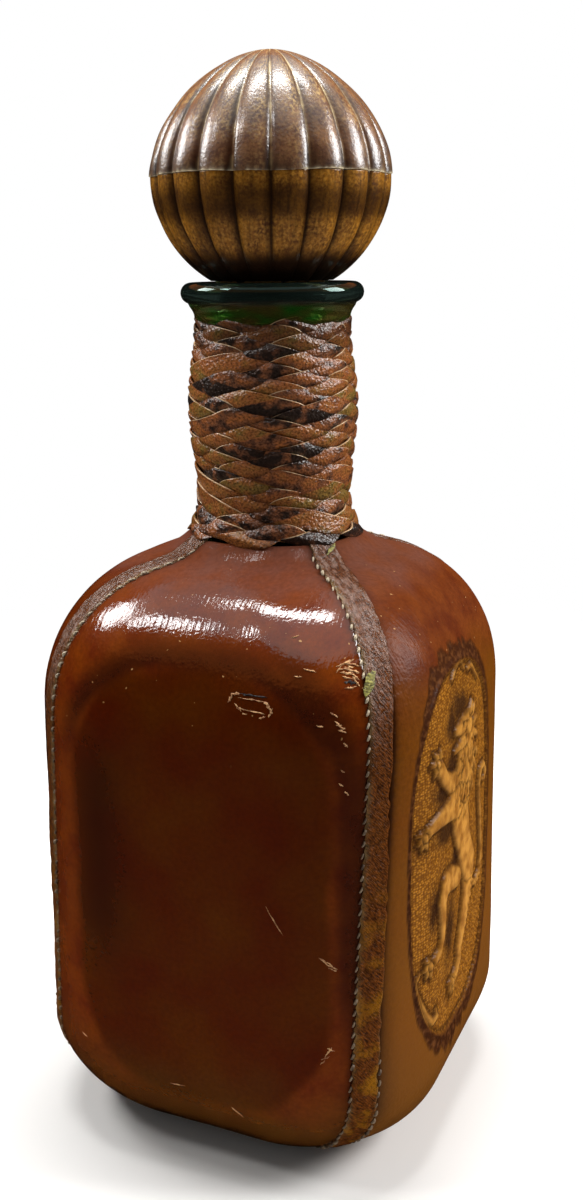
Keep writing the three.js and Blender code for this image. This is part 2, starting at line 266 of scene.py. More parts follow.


# patterns on leather and thread read the mesh's own attribute lay; masks are attributes too
# vegetable-tanned cowhide, dyed and varnished: deep mottled brown, fine pebble, wrinkles where it bends,
# clear gloss; the deep colours in the dark field and the darkest colour in the bands are a painted dark
# reflection
cognac = {
    "deep": "#4c1500", "deepOlive": "#532401", "warm": "#753206", "warmRed": "#642306", "darkReflectionAndGrime": "#240b06",
    "worn": "#b98a58", "soot": "#200b03", "grime": "#4c3110", "dustAndSheen": "#7a5042",
    "cloud": 26.0, "stain": 7.0, "fine": 1.1, "fleck": 1.3, "pebble": 0.62, "wrinkle": (0.9, 7.0, 1.0),
    "bumpDepth": 0.07, "coat": 1.0, "dullCoat": 0.12, "coatRoughness": 0.1,
}
# the right side was dyed lighter, red-brown above and ochre below
cognacRight = dict(cognac, deep="#703a05", deepOlive="#6e4008", warm="#6e3411", warmRed="#5a2409",
                   darkReflectionAndGrime="#382410", grime="#46301a", coat=0.1)


# what both dyes of the hide share: ground colour, tints laid over it, roughness, height and gloss
def varnishedHide(tree, s):
    lay, bend, field, band, edge, foot, dull = (
        addNode(tree, "Attribute", attribute_name=key)
        for key in ("lay", "bend", "field", "band", "edge", "foot", "dull"))
    cloud, stain, fine, fleck = (
        addNode(tree, "TexNoise", {"Vector": lay, "Scale": 1 / s[key], "Detail": detail})
        for key, detail in (("cloud", 3.0), ("stain", 5.0), ("fine", 3.0), ("fleck", 1.0)))
    middle = addNode(tree, "ValToRGB", {"Fac": cloud}, [(0.36, s["deep"]), (0.62, s["deepOlive"])])
    margin = addNode(tree, "ValToRGB", {"Fac": stain}, [(0.38, s["warm"]), (0.66, s["warmRed"])])
    # by the neck a grey-purple tint that is partly dust and partly painted sheen
    dustySheen = addNode(tree, "Math", {0: dull, 1: stain}, operation="MULTIPLY")
    specks = addNode(tree, "MapRange", {"Value": fine, "From Min": 0.3, "From Max": 0.7, "To Max": 0.26})
    # small flecks where the grain has worn through on the bend
    flecks = addNode(tree, "MapRange", {"Value": fleck, "From Min": 0.76, "From Max": 0.79})
    flecks = addNode(tree, "Math", {0: flecks, 1: bend}, operation="MULTIPLY")
    # field and band lay a painted dark reflection on the plain panels, and dye and grime on the tooled one
    tints = [(field, middle), (band, s["darkReflectionAndGrime"]), (foot, s["grime"]), (dustySheen, s["dustAndSheen"]),
             # edge darkens the seams and the ends as painted shade
             (specks, s["soot"]), (edge, s["soot"]), (flecks, s["worn"])]
    pebble = addNode(tree, "TexVoronoi", {"Vector": lay, "Scale": 1 / s["pebble"]}, feature="SMOOTH_F1")
    drawn = addNode(tree, "Mapping", {"Vector": lay, "Scale": [1 / size for size in s["wrinkle"]]})
    wrinkle = addNode(tree, "TexNoise", {"Vector": drawn, "Scale": 1.0, "Detail": 4.0})
    folds = addNode(tree, "Math", {0: wrinkle, 1: bend}, operation="MULTIPLY")
    height = addNode(tree, "Math", {0: pebble, 1: -0.35, 2: 0.0}, operation="MULTIPLY_ADD")
    height = addNode(tree, "Math", {0: folds, 1: 1.1, 2: height}, operation="MULTIPLY_ADD")
    height = addNode(tree, "Math", {0: fine, 1: 0.6, 2: height}, operation="MULTIPLY_ADD")
    rough = addNode(tree, "MapRange", {"Value": stain, "To Min": 0.35, "To Max": 0.6})
    gloss = addNode(tree, "MapRange", {"Value": dull, "To Min": s["coat"],
                                       "To Max": s["dullCoat"] * s["coat"]})
    return margin, tints, rough, height, gloss


def cognacLeather():
    material, tree = startMaterial("varnished_cognac_leather")
    colour, tints, rough, height, gloss = varnishedHide(tree, cognac)
    finishMaterial(tree, colour, tints, rough, height, cognac["bumpDepth"], gloss, Specular_IOR_Level=0.01,
                   Coat_Roughness=cognac["coatRoughness"], Coat_IOR=1.6)
    return material


# the same hide tooled by hand: beaded tan ground, paler figure, dark antiquing in the cuts and the border,
# and painted shade just inside the figure's edges
tooled = {
    "ground": "#b07422", "groundDark": "#6e400e", "figure": "#bd8336", "figureDark": "#8e5a1e",
    "cut": "#2c1607", "border": "#3a1c0a", "borderPale": "#62391a", "tan": "#744410", "smoke": "#2a170e",
    "matting": (0.95, 0.6, 1.0), "wornSpot": 3.4, "tuft": 1.6, "bumpDepth": 0.13, "coatRoughness": 0.26,
}


def tooledLeather():
    material, tree, lay, tan, isGround, isFigure, isBorder, smoke, cut = startMaterial(
        "tooled_cognac_leather", "lay", "tan", "ground", "figure", "border", "smoke", "cut")
    s = tooled
    colour, tints, rough, height, gloss = varnishedHide(tree, cognacRight)
    rows = addNode(tree, "Mapping", {"Vector": lay, "Scale": [1 / size for size in s["matting"]]})
    matting = addNode(tree, "TexVoronoi", {"Vector": rows, "Scale": 1.0, "Randomness": 0.55})
    worn, tufts = (addNode(tree, "TexNoise", {"Vector": lay, "Scale": 1 / s[key], "Detail": 4.0})
                   for key in ("wornSpot", "tuft"))
    ground = addNode(tree, "ValToRGB", {"Fac": matting}, [(0.12, s["ground"]), (0.6, s["groundDark"])])
    figure = addNode(tree, "ValToRGB", {"Fac": worn}, [(0.36, s["figureDark"]), (0.6, s["figure"])])
    border = addNode(tree, "ValToRGB", {"Fac": tufts}, [(0.46, s["border"]), (0.7, s["borderPale"])])
    tints += [(tan, s["tan"]), (isBorder, border), (isGround, ground), (isFigure, figure),
              (smoke, s["smoke"]), (cut, s["cut"])]
    beads = addNode(tree, "Math", {0: matting, 1: isGround}, operation="MULTIPLY")
    height = addNode(tree, "Math", {0: height, 1: 0.9, 2: 0.0}, operation="MULTIPLY_ADD")
    height = addNode(tree, "Math", {0: beads, 1: -1.6, 2: height}, operation="MULTIPLY_ADD")
    finishMaterial(tree, colour, tints, rough, height, s["bumpDepth"], gloss, Specular_IOR_Level=0.03,
                   Coat_Roughness=s["coatRoughness"], Coat_IOR=1.5)
    return material


# goatskin with the grain worn off: dull brown, short slanting fibres, golden where it is rubbed through low
# down, glossy on the shoulder, with grey streaks there as painted sheen
stripHide = {
    "dark": "#301604", "brown": "#6e3a10", "gold": "#845408", "sheenGrey": "#86685a", "soot": "#1c0d06",
    "cutEdge": "#c8ac78", "fibre": (0.34, 1.5, 1.0), "streak": (0.8, 4.5, 1.0), "slant": -0.75, "rub": 6.0,
    "fine": 0.7, "bumpDepth": 0.4, "coat": (0.1, 0.9), "coatRoughness": 0.18,
}


def wornStripLeather():
    material, tree, lay, low, high, edge = startMaterial("worn_strip_goatskin", "lay", "low", "high", "edge")
    s = stripHide
    turned = addNode(tree, "VectorRotate", {"Vector": lay, "Angle": s["slant"]}, rotation_type="Z_AXIS")
    drawn = [addNode(tree, "Mapping", {"Vector": turned, "Scale": [1 / size for size in s[key]]})
             for key in ("fibre", "streak")]
    fibre, streak = (addNode(tree, "TexNoise", {"Vector": node, "Scale": 1.0, "Detail": 4.0})
                     for node in drawn)
    rub, fine = (addNode(tree, "TexNoise", {"Vector": lay, "Scale": 1 / s[key], "Detail": detail})
                 for key, detail in (("rub", 5.0), ("fine", 3.0)))
    colour = addNode(tree, "ValToRGB", {"Fac": fibre}, [(0.34, s["dark"]), (0.62, s["brown"])])
    rubbed = addNode(tree, "MapRange", {"Value": rub, "From Min": 0.48, "From Max": 0.64})
    rubbed = addNode(tree, "Math", {0: rubbed, 1: low}, operation="MULTIPLY")
    # painted sheen: pale grey streaks on the shoulder
    paintedSheen = addNode(tree, "MapRange", {"Value": streak, "From Min": 0.46, "From Max": 0.6})
    paintedSheen = addNode(tree, "Math", {0: paintedSheen, 1: high}, operation="MULTIPLY")
    specks = addNode(tree, "MapRange", {"Value": fine, "From Min": 0.52, "From Max": 0.36, "To Max": 0.45})
    tints = [(rubbed, s["gold"]), (paintedSheen, s["sheenGrey"]), (specks, s["soot"]), (edge, s["cutEdge"])]
    height = addNode(tree, "Math", {0: fibre, 1: 1.6, 2: fine}, operation="MULTIPLY_ADD")
    rough = addNode(tree, "MapRange", {"Value": fibre, "To Min": 0.3, "To Max": 0.7})
    gloss = addNode(tree, "MapRange", {"Value": high, "To Min": s["coat"][0], "To Max": s["coat"][1]})
    finishMaterial(tree, colour, tints, rough, height, s["bumpDepth"], gloss, Specular_IOR_Level=0.02,
                   Coat_Roughness=s["coatRoughness"])
    return material


# linen thread drawn through beeswax: pale tan, grimy in its twist, paler on the shoulder
threadLook = {"pale": "#806c54", "grime": "#463424", "upperPale": "#c6b69a", "grimeSpot": 3.0, "twist": 0.5,
              "twistAngle": 0.8, "roughness": 0.55, "bumpDepth": 0.12}


def waxedThread():
    material, tree, lay, high = startMaterial("waxed_linen_thread", "lay", "high")
    s = threadLook
    grime = addNode(tree, "TexNoise", {"Vector": lay, "Scale": 1 / s["grimeSpot"], "Detail": 3.0})
    colour = addNode(tree, "ValToRGB", {"Fac": grime}, [(0.42, s["pale"]), (0.64, s["grime"])])
    turned = addNode(tree, "VectorRotate", {"Vector": lay, "Angle": s["twistAngle"]}, rotation_type="Z_AXIS")
    # a wave of scale 0.314 repeats once a mm
    twist = addNode(tree, "TexWave", {"Vector": turned, "Scale": 0.314 / s["twist"], "Distortion": 0.6})
    finishMaterial(tree, colour, [(high, s["upperPale"])], s["roughness"], twist, s["bumpDepth"])
    return material


# thin calf strips, dyed unevenly and varnished: rust to black-brown with some olive, crumpled grain that
# sparkles, painted shade where a strip dives under the next and along its lower edge, pale where it was cut,
# and paler on the upper cut edge as painted highlight
braidHide = {
    "rust": "#a05e31", "amber": "#9c6531", "brown": "#7c4d32", "black": "#30251f", "olive": "#866830",
    "cutEdge": "#dab78c", "grime": "#120b08",
    "blotch": 3.2, "grain": 0.55, "crackle": 0.8, "bumpDepth": 0.2, "coat": 0.75, "coatRoughness": 0.2,
}


def braidLeather():
    material, tree, lay, tone, shade, edge = startMaterial("dyed_calf_strips", "lay", "tone", "shade", "edge")
    s = braidHide
    blotch, grain = (addNode(tree, "TexNoise", {"Vector": lay, "Scale": 1 / s[key], "Detail": detail})
                     for key, detail in (("blotch", 5.0), ("grain", 4.0)))
    crackle = addNode(tree, "TexVoronoi", {"Vector": lay, "Scale": 1 / s["crackle"]})
    dye = addNode(tree, "Math", {0: blotch, 1: 1.6, 2: -0.8}, operation="MULTIPLY_ADD")
    dye = addNode(tree, "Math", {0: tone, 1: dye}, operation="ADD")
    dyes = [(0.1, s["black"]), (0.28, s["brown"]), (0.46, s["rust"]), (0.8, s["amber"]), (1.0, s["olive"])]
    colour = addNode(tree, "ValToRGB", {"Fac": dye}, dyes)
    specks = addNode(tree, "MapRange", {"Value": grain, "From Min": 0.42, "From Max": 0.68, "To Max": 0.72})
    # the shade share lays painted shade in the grime colour
    tints = [(specks, s["grime"]), (shade, s["grime"]), (edge, s["cutEdge"])]
    height = addNode(tree, "Math", {0: crackle, 1: -0.9, 2: grain}, operation="MULTIPLY_ADD")
    rough = addNode(tree, "MapRange", {"Value": blotch, "To Min": 0.25, "To Max": 0.55})
    finishMaterial(tree, colour, tints, rough, height, s["bumpDepth"], s["coat"], Specular_IOR_Level=0.04,
                   Coat_Roughness=s["coatRoughness"])
    return material


# leather moulded wet over the ball and gilded once: bronze crests with a hard polish, pale gold left in the
# upper creases, painted shade on one flank of each rib and gilt as painted sheen on the other, amber below,
# dark towards the bottom
ballHide = {
    "bronze": "#7e593b", "umber": "#523629", "gilt": "#c8a468", "crease": "#e2c791", "amber": "#98621a",
    "copper": "#6a4018", "gold": "#b07a2c", "dark": "#241307", "cutEdge": "#f0dfb8",
    "blotch": 4.0, "grain": 0.6, "gilding": 0.8, "streak": (0.9, 7.0, 1.0),
    "bumpDepth": 0.06, "upperSpecular": 0.5, "lowerSpecular": 0.12, "coat": 0.38, "coatRoughness": 0.1,
}


def ballLeather(isUpper):
    name = "gilded_leather_upper" if isUpper else "gilded_leather_lower"
    material, tree, lay, crease, flank, glow, edge = startMaterial(
        name, "lay", "crease", "flank", "glow", "edge")
    s = ballHide
    blotch, grain, gilding = (
        addNode(tree, "TexNoise", {"Vector": lay, "Scale": 1 / s[key], "Detail": detail})
        for key, detail in (("blotch", 5.0), ("grain", 4.0), ("gilding", 5.0)))
    gilt = addNode(tree, "MapRange", {"Value": gilding, "From Min": 0.42, "From Max": 0.62, "To Max": 0.9})
    gilt = addNode(tree, "Math", {0: gilt, 1: glow}, operation="MULTIPLY")
    specks = addNode(tree, "MapRange", {"Value": grain, "From Min": 0.4, "From Max": 0.75, "To Max": 0.6})
    if isUpper:
        colour = addNode(tree, "ValToRGB", {"Fac": blotch}, [(0.38, s["bronze"]), (0.62, s["umber"])])
        tints = [(gilt, s["gilt"])]
    else:
        worn = addNode(tree, "ValToRGB", {"Fac": blotch}, [(0.4, s["amber"]), (0.62, s["copper"])])
        worn = addNode(tree, "Mix", {0: gilt, 6: worn, 7: s["gold"]}, data_type="RGBA")
        drawn = addNode(tree, "Mapping", {"Vector": lay, "Scale": [1 / size for size in s["streak"]]})
        streaks = addNode(tree, "TexNoise", {"Vector": drawn, "Scale": 1.0, "Detail": 4.0})
        streaks = addNode(tree, "MapRange", {"Value": streaks, "From Min": 0.5, "From Max": 0.7,
                                             "To Max": 0.5})
        colour = s["dark"]
        tints = [(glow, worn), (streaks, s["dark"])]
    tints += [(specks, s["dark"]), (flank, s["dark"]), (crease, s["crease"] if isUpper else s["dark"]),
              (edge, s["cutEdge"])]
    height = addNode(tree, "Math", {0: gilding, 1: 1.0, 2: grain}, operation="MULTIPLY_ADD")
    rough = addNode(tree, "MapRange", {"Value": grain, "To Min": 0.2, "To Max": 0.46})
    finishMaterial(tree, colour, tints, rough, height, s["bumpDepth"], s["coat"],
                   Specular_IOR_Level=s["upperSpecular"] if isUpper else s["lowerSpecular"],
                   Coat_Roughness=s["coatRoughness"])
    return material


# bottle glass coloured with iron: near black in the thick bead, olive and green in the thin collar below it
glassLook = {"bead": "#26332e", "green": "#23641a", "olive": "#544a20", "mirror": "#9cc4bc",
             "beadFoot": (196.4, 197.6), "swirl": (8.0, 8.0, 2.2), "wobble": 4.0, "bumpDepth": 0.08,
             "clear": 0.72, "roughness": 0.03}


def bottleGlass():
    material, tree = startMaterial("dark_green_bottle_glass")
    s = glassLook
    place = inMillimetres(tree)
    parts = addNode(tree, "SeparateXYZ", {0: place})
    drawn = addNode(tree, "Mapping", {"Vector": place, "Scale": [1 / size for size in s["swirl"]]})
    swirl = addNode(tree, "TexNoise", {"Vector": drawn, "Scale": 1.0, "Detail": 3.0})
    thin = addNode(tree, "ValToRGB", {"Fac": swirl}, [(0.44, s["olive"]), (0.66, s["green"])])
    low, high = s["beadFoot"]
    thick = addNode(tree, "MapRange", {"Value": parts.outputs["Z"], "From Min": low, "From Max": high})
    wobble = addNode(tree, "TexNoise", {"Vector": place, "Scale": 1 / s["wobble"], "Detail": 1.0})
    finishMaterial(tree, thin, [(thick, s["bead"])], s["roughness"], wobble, s["bumpDepth"],
                   Transmission_Weight=s["clear"], IOR=1.52, Specular_IOR_Level=0.3,
                   Specular_Tint=toLinear(s["mirror"]))
    return material


# natural cork: warm tan, dark pores a millimetre long
corkLook = {"tan": "#a87443", "pale": "#c99a63", "pore": "#4a2c17", "cell": 1.2, "poreSize": (2.2, 2.2, 1.0),
            "roughness": 0.85, "bumpDepth": 0.35}


def corkBark():
    material, tree = startMaterial("natural_cork")
    s = corkLook
    place = inMillimetres(tree)
    cells = addNode(tree, "TexNoise", {"Vector": place, "Scale": 1 / s["cell"], "Detail": 4.0})
    drawn = addNode(tree, "Mapping", {"Vector": place, "Scale": [1 / size for size in s["poreSize"]]})
    pores = addNode(tree, "TexNoise", {"Vector": drawn, "Scale": 1.0, "Detail": 2.0})
    pores = addNode(tree, "MapRange", {"Value": pores, "From Min": 0.62, "From Max": 0.7})
    colour = addNode(tree, "ValToRGB", {"Fac": cells}, [(0.3, s["tan"]), (0.7, s["pale"])])
    height = addNode(tree, "Math", {0: pores, 1: -1.0, 2: cells}, operation="MULTIPLY_ADD")
    finishMaterial(tree, colour, [(pores, s["pore"])], s["roughness"], height, s["bumpDepth"])
    return material


# turned beech inside the stopper: straight pale grain with short darker flecks
beechLook = {"tan": "#b98a55", "pale": "#d2a873", "fleck": "#8a5d33", "ring": (2.4, 2.4, 40.0),
             "ray": (0.6, 0.6, 3.0), "roughness": 0.6, "bumpDepth": 0.1}


def turnedBeech():
    material, tree = startMaterial("turned_beech")
    s = beechLook
    place = inMillimetres(tree)
    grown, drawn = (addNode(tree, "Mapping", {"Vector": place, "Scale": [1 / size for size in s[key]]})
                    for key in ("ring", "ray"))
    rings = addNode(tree, "TexNoise", {"Vector": grown, "Scale": 1.0, "Detail": 4.0})
    flecks = addNode(tree, "TexNoise", {"Vector": drawn, "Scale": 1.0, "Detail": 3.0})
    flecks = addNode(tree, "MapRange", {"Value": flecks, "From Min": 0.6, "From Max": 0.72})
    colour = addNode(tree, "ValToRGB", {"Fac": rings}, [(0.3, s["tan"]), (0.7, s["pale"])])
    finishMaterial(tree, colour, [(flecks, s["fleck"])], s["roughness"], rings, s["bumpDepth"])
    return material


# bare flesh side of leather where the dyed skin is torn, and old glue: pale fibres, yellow-green resin, and a
# painted shadow inside a slit and a hole
fleshLook = {"tan": "#8a5228", "pale": "#d2a26c", "resin": "#4c4816", "resinPale": "#aaa24e",
             "hole": "#140806", "fibre": (1.0, 1.0, 0.4), "roughness": 0.6, "bumpDepth": 0.3}


def tornFlesh():
    material, tree, glue, dark = startMaterial("torn_leather_flesh", "glue", "dark")
    s = fleshLook
    place = inMillimetres(tree)
    drawn = addNode(tree, "Mapping", {"Vector": place, "Scale": [1 / size for size in s["fibre"]]})
    fibres = addNode(tree, "TexNoise", {"Vector": drawn, "Scale": 1.0, "Detail": 4.0})
    flesh = addNode(tree, "ValToRGB", {"Fac": fibres}, [(0.38, s["tan"]), (0.6, s["pale"])])
    resin = addNode(tree, "ValToRGB", {"Fac": fibres}, [(0.38, s["resin"]), (0.64, s["resinPale"])])
    finishMaterial(tree, flesh, [(glue, resin), (dark, s["hole"])], s["roughness"], fibres, s["bumpDepth"])
    return material


leatherCover = cognacLeather()
leatherTooled = tooledLeather()
leatherStrip = wornStripLeather()
leatherBraid = braidLeather()
threadMaterial = waxedThread()
print("materials made")

# the tooled oval on the right side: a rampant lion that faces the front corner, in mm across and up from its
# middle; mane and eye are given by their middle and their half sizes
medallion = {
    "centre": (-8.6, 72.0), "inner": (25.6, 43.5), "power": 3.0, "borderWidth": (0.045, 0.06), "teeth": 13,
    "figureCentre": (-6.5, 74.0), "figureTilt": 8.5, "mane": (1.5, 17.0, 9.5, 11.5),
    "eye": (-3.2, 26.2, 1.1, 0.7), "lockRadius": 1.25, "clawRadius": 1.15, "clawsEach": 4, "rim": 0.25,
    "groundDepth": 0.6, "borderDepth": 0.14, "figureLift": 0.85, "roundOver": 1.3, "groove": 0.42,
}
# each limb is a row of (across, up, radius)
lionLimbs = {
    "tail": [(10.5, -13, 1.6), (13, -15.8, 1.1), (16.5, -16.4, 0.95), (19.4, -14, 0.9), (20, -10, 0.9),
             (18.8, -5, 0.9), (17.2, 0, 0.9), (15.4, 5, 0.9), (14.6, 9, 0.95), (15.6, 12, 1.0),
             (18.2, 12.8, 1.0), (20, 11, 0.9), (19, 8.8, 0.8), (17, 9.2, 0.5)],
    "farHindLeg": [(8.6, -10, 5.0), (8.4, -16, 3.6), (6.4, -23, 2.9), (4.0, -28.6, 2.2), (4.6, -31.6, 1.7),
                   (2.6, -34.4, 1.6), (0.2, -35.4, 1.6)],
    "farForeleg": [(-5, 13.2, 3.2), (-11, 14, 2.6), (-15.5, 15.8, 2.2), (-18.8, 18.4, 2.2),
                   (-20.8, 20.6, 1.7)],
    "trunk": [(0.8, 20, 6.0), (-1.2, 12, 6.8), (-1.2, 4.4, 6.2), (3.6, -3.6, 5.0), (8.2, -9, 5.0)],
    "nearHindLeg": [(-0.6, -10.4, 2.6), (-5.6, -9.4, 3.2), (-10.4, -9.6, 3.2), (-12.4, -13, 2.6),
                    (-11, -17.4, 2.1), (-10.7, -21.6, 1.5), (-12, -24.6, 1.4), (-14.4, -26, 1.4),
                    (-16.2, -26.6, 1.5)],
    "nearForeleg": [(-4.4, 8.6, 4.4), (-11, 7.8, 3.0), (-17.2, 7.2, 2.2), (-21.4, 6.0, 1.7),
                    (-23.6, 4.6, 1.5)],
    "neck": [(2.8, 23.6, 4.0), (3.4, 18, 4.8), (1.2, 12, 5.2)],
    "skull": [(1.6, 26.2, 3.2), (-2.2, 26.2, 2.7), (-5.6, 25.6, 1.9), (-8.8, 25.4, 1.2)],
    "jaw": [(-0.8, 22.6, 2.0), (-5.2, 21.4, 1.3), (-8.8, 20.6, 0.8)],
    "ear": [(2.4, 28.6, 1.2), (3.8, 31.0, 0.5)],
    "brow": [(0.4, 27.6, 1.1), (-3.8, 27.6, 0.8)],
}
# paws spread claws as a fan: middle, heading in degrees, spread, claw length
lionPaws = [((-20.8, 20.4), 150, 170, 3.6), ((-23.6, 4.4), 222, 120, 3.4),
            ((-16.2, -26.6), 208, 130, 3.4), ((0.0, -35.6), 226, 120, 3.6)]
# locks of the mane, from the crown down the nape and the breast: root, heading in degrees, length
lionLocks = [((3.8, 28.0), 50, 3.6), ((5.4, 25.8), 14, 4.4), ((6.6, 22.8), -14, 4.8),
             ((7.2, 19.6), -30, 5.0), ((7.0, 16.2), -44, 5.2), ((5.8, 13), -56, 5.2),
             ((3.8, 10.4), -74, 5.4), ((0.4, 19.6), -108, 5.6), ((-2.2, 16.4), -116, 5.6),
             ((2.6, 15.6), -94, 5.8), ((-4.2, 17.4), -128, 4.4), ((-0.6, 11.4), -106, 5.6),
             ((4.6, 20.6), -80, 5.6), ((-4.2, 11.4), -118, 4.6), ((1.6, 7.6), -92, 4.8)]
# leaf scrolls at the foot and the top of the oval, as limbs
scrolls = [[(-20.4, -27.8, 0.5), (-21.8, -29.4, 0.8), (-21.2, -31.8, 1.0), (-19.0, -35.2, 1.1),
            (-16.0, -38.6, 1.1), (-12.8, -41.0, 1.0), (-10.6, -40.2, 0.8), (-11.4, -38.4, 0.6)],
           [(-10.4, 37.6, 0.5), (-7, 40.2, 0.9), (-3.4, 41.6, 0.9), (-1.2, 39.4, 0.6)],
           [(8.4, 36, 0.5), (4.6, 39.2, 0.9), (1.6, 38.6, 0.6)]]
# pools of dark antiquing before the face, under the forelegs and round the hind legs: across, up, and how far
# each reaches across and up
smokePools = [(-6, 31.2, 7.0, 3.2), (-11.5, 27.6, 3.6, 3.6), (-8.6, 17.6, 4.0, 4.4), (-16.5, 12.6, 5.0, 2.4),
              (-12, 2.5, 6.0, 2.6), (-15.8, -13.6, 2.4, 5.0), (-3.6, -22, 3.4, 7.0), (-2.0, -4.8, 2.6, 3.0)]


# a lock or a claw: a limb of two stretches that tapers to its tip and bends by curl degrees on the way
def spike(root, heading, length, radius, curl):
    angle, end = math.radians(heading), math.radians(heading + curl)
    middle = (root[0] + 0.55 * length * math.cos(angle), root[1] + 0.55 * length * math.sin(angle))
    tip = (middle[0] + 0.45 * length * math.cos(end), middle[1] + 0.45 * length * math.sin(end))
    return [(*root, radius), (*middle, 0.75 * radius), (*tip, 0.25)]


# distance inside a limb, in mm: for each stretch its tapering radius less the distance to its middle line;
# the largest counts
def insideLimb(across, up, limb):
    best = np.full(across.shape, -99.0)
    for (x0, y0, r0), (x1, y1, r1) in zip(limb, limb[1:]):
        dx, dy = x1 - x0, y1 - y0
        share = np.clip(((across - x0) * dx + (up - y0) * dy) / (dx * dx + dy * dy), 0, 1)
        distance = np.hypot(across - x0 - share * dx, up - y0 - share * dy)
        best = np.maximum(best, r0 + share * (r1 - r0) - distance)
    return best


# the figure's limbs from back to front, each with the share of the full lift that it gets
def figureLimbs():
    s = medallion
    limbs = [(limb, 1.0) for limb in lionLimbs.values()]
    limbs += [(spike(root, heading, length, s["lockRadius"], -35), 1.12)
              for root, heading, length in lionLocks]
    for middle, heading, spread, length in lionPaws:
        claws = [heading + spread * (k / (s["clawsEach"] - 1) - 0.5) for k in range(s["clawsEach"])]
        limbs += [(spike(middle, angle, length, s["clawRadius"], 24), 1.1) for angle in claws]
    return limbs + [(limb, 0.75) for limb in scrolls]


# the figure: each limb is a quarter-round lift from its edge inwards, with a cut where it lies over another
# gives the lift in mm, the share of dark cut, which holds painted shade inside the figure's edges too, and
# the distance inside the figure
def lionFigure(across, up):
    s = medallion
    raised, cut, near = np.zeros_like(across), np.zeros_like(across), np.full_like(across, -99.0)
    for limb, level in figureLimbs():
        inside = insideLimb(across, up, limb)
        dome = np.sqrt(np.clip(1 - (1 - np.clip(inside / s["roundOver"], 0, 1)) ** 2, 0, 1))
        isFront = (inside > -0.2) & (raised > 0.3)
        groove = np.exp(-(inside / 0.38) ** 2) * isFront
        lift = level * s["figureLift"] * dome
        raised = np.where(inside > 0, np.maximum(raised, lift), raised) - s["groove"] * groove
        cut = np.maximum(cut, 0.85 * groove)
        near = np.maximum(near, inside)
    # hair, mostly in the mane
    x, y, wide, tall = s["mane"]
    mane = 0.12 + 0.88 * ease(1.15, 0.7, np.hypot((across - x) / wide, (up - y) / tall))
    strokes = mottle(across / 0.8 + 0.25 * up, up / 4.5, 13) * mane
    raised += 0.2 * strokes * ease(0.2, 1.2, near)
    cut = np.maximum(cut, 0.55 * ease(0.35, 0.85, -strokes) * ease(0.4, 1.4, near))
    # painted shade: the figure is darker just inside its edges, where its sides round over
    cut = np.maximum(cut, 0.55 * np.exp(-np.clip(near, 0, None) / 0.8) * (near > 0))
    x, y, wide, tall = s["eye"]
    eye = np.exp(-np.hypot((across - x) / wide, (up - y) / tall) ** 4)
    return raised - 0.45 * eye, np.maximum(cut, 0.85 * eye), near


# relief of the oval in mm above the leather, and the shares of ground, figure, border, dark cut and smoke
# ring is 1 on the oval's edge, a superellipse; the border round it is a thin band that is ragged at both ends
def medallionRelief(along, height):
    s = medallion
    tilt = math.radians(s["figureTilt"])
    dx, dz = along - s["figureCentre"][0], height - s["figureCentre"][1]
    across = dx * math.cos(tilt) - dz * math.sin(tilt)
    up = dx * math.sin(tilt) + dz * math.cos(tilt)
    ovalX, ovalZ = (along - s["centre"][0]) / s["inner"][0], (height - s["centre"][1]) / s["inner"][1]
    ring = (np.abs(ovalX) ** s["power"] + np.abs(ovalZ) ** s["power"]) ** (1 / s["power"])
    around = np.arctan2(ovalZ, ovalX)
    torn = 0.6 * mottle(around * 7 + 40, ring * 6, 5) + 0.4 * mottle(around * 19 + 90, ring * 14, 6)
    teeth = np.abs(np.sin(s["teeth"] * around + 2.5 * mottle(around * 5 + 60, ring * 3, 7)))
    ends = ease(0.45, 1.0, np.abs(np.sin(around)))
    even, ragged = s["borderWidth"]
    borderEdge = 1 + even * (1 + 0.3 * torn) + ragged * ends * (0.5 + 0.6 * teeth + 0.6 * torn)
    ground = ease(1.0, 0.985, ring)
    border = ease(0.985, 1.0, ring) * ease(borderEdge, borderEdge - 0.015, ring)
    pits = mottle(across / 0.9, up / 0.9, 11) + 0.6 * mottle(across / 2.2, up / 2.2, 12)
    relief = -s["groundDepth"] * ground - s["borderDepth"] * border * (0.8 + 0.6 * pits)
    relief += s["rim"] * np.exp(-((ring - 1.005) / 0.016) ** 2)
    hatch = np.sin(2 * np.pi * (up + 0.6 * across) / 2.0) * ease(6, 10, across) * ease(-10, -15, up)
    relief += 0.2 * hatch * ground
    raised, cut, near = lionFigure(across, up)
    relief += raised * ground
    figure = ease(-0.1, 0.35, near) * ground
    # cuts round the figure and along both edges of the border
    outline = np.clip(-near, 0, None)
    halo = np.exp(-outline / 1.8) * (near < 0) * (0.7 + 0.5 * mottle(across / 4, up / 4, 14))
    cuts = [cut, 0.85 * np.exp(-((outline - 0.4) / 0.5) ** 2) * ground * (near < 0.2), 0.5 * halo * ground,
            0.8 * np.exp(-((ring - 0.978) / 0.013) ** 2),
            0.6 * np.exp(-((ring - borderEdge + 0.006) / 0.007) ** 2)]
    cut = np.clip(np.maximum.reduce(cuts), 0, 1) * (ring < 1.3)
    pools = [np.exp(-((across - x) / wide) ** 2 - ((up - y) / tall) ** 2) for x, y, wide, tall in smokePools]
    smoke = np.maximum.reduce(pools) * (1 + 0.35 * mottle(across / 2.4, up / 2.4, 15))
    smoke = np.clip(1.15 * smoke, 0, 0.85) * ground * (1 - 0.85 * figure)
    shares = {"ground": ground * (1 - figure), "figure": figure, "border": border, "cut": cut, "smoke": smoke}
    return relief, shares


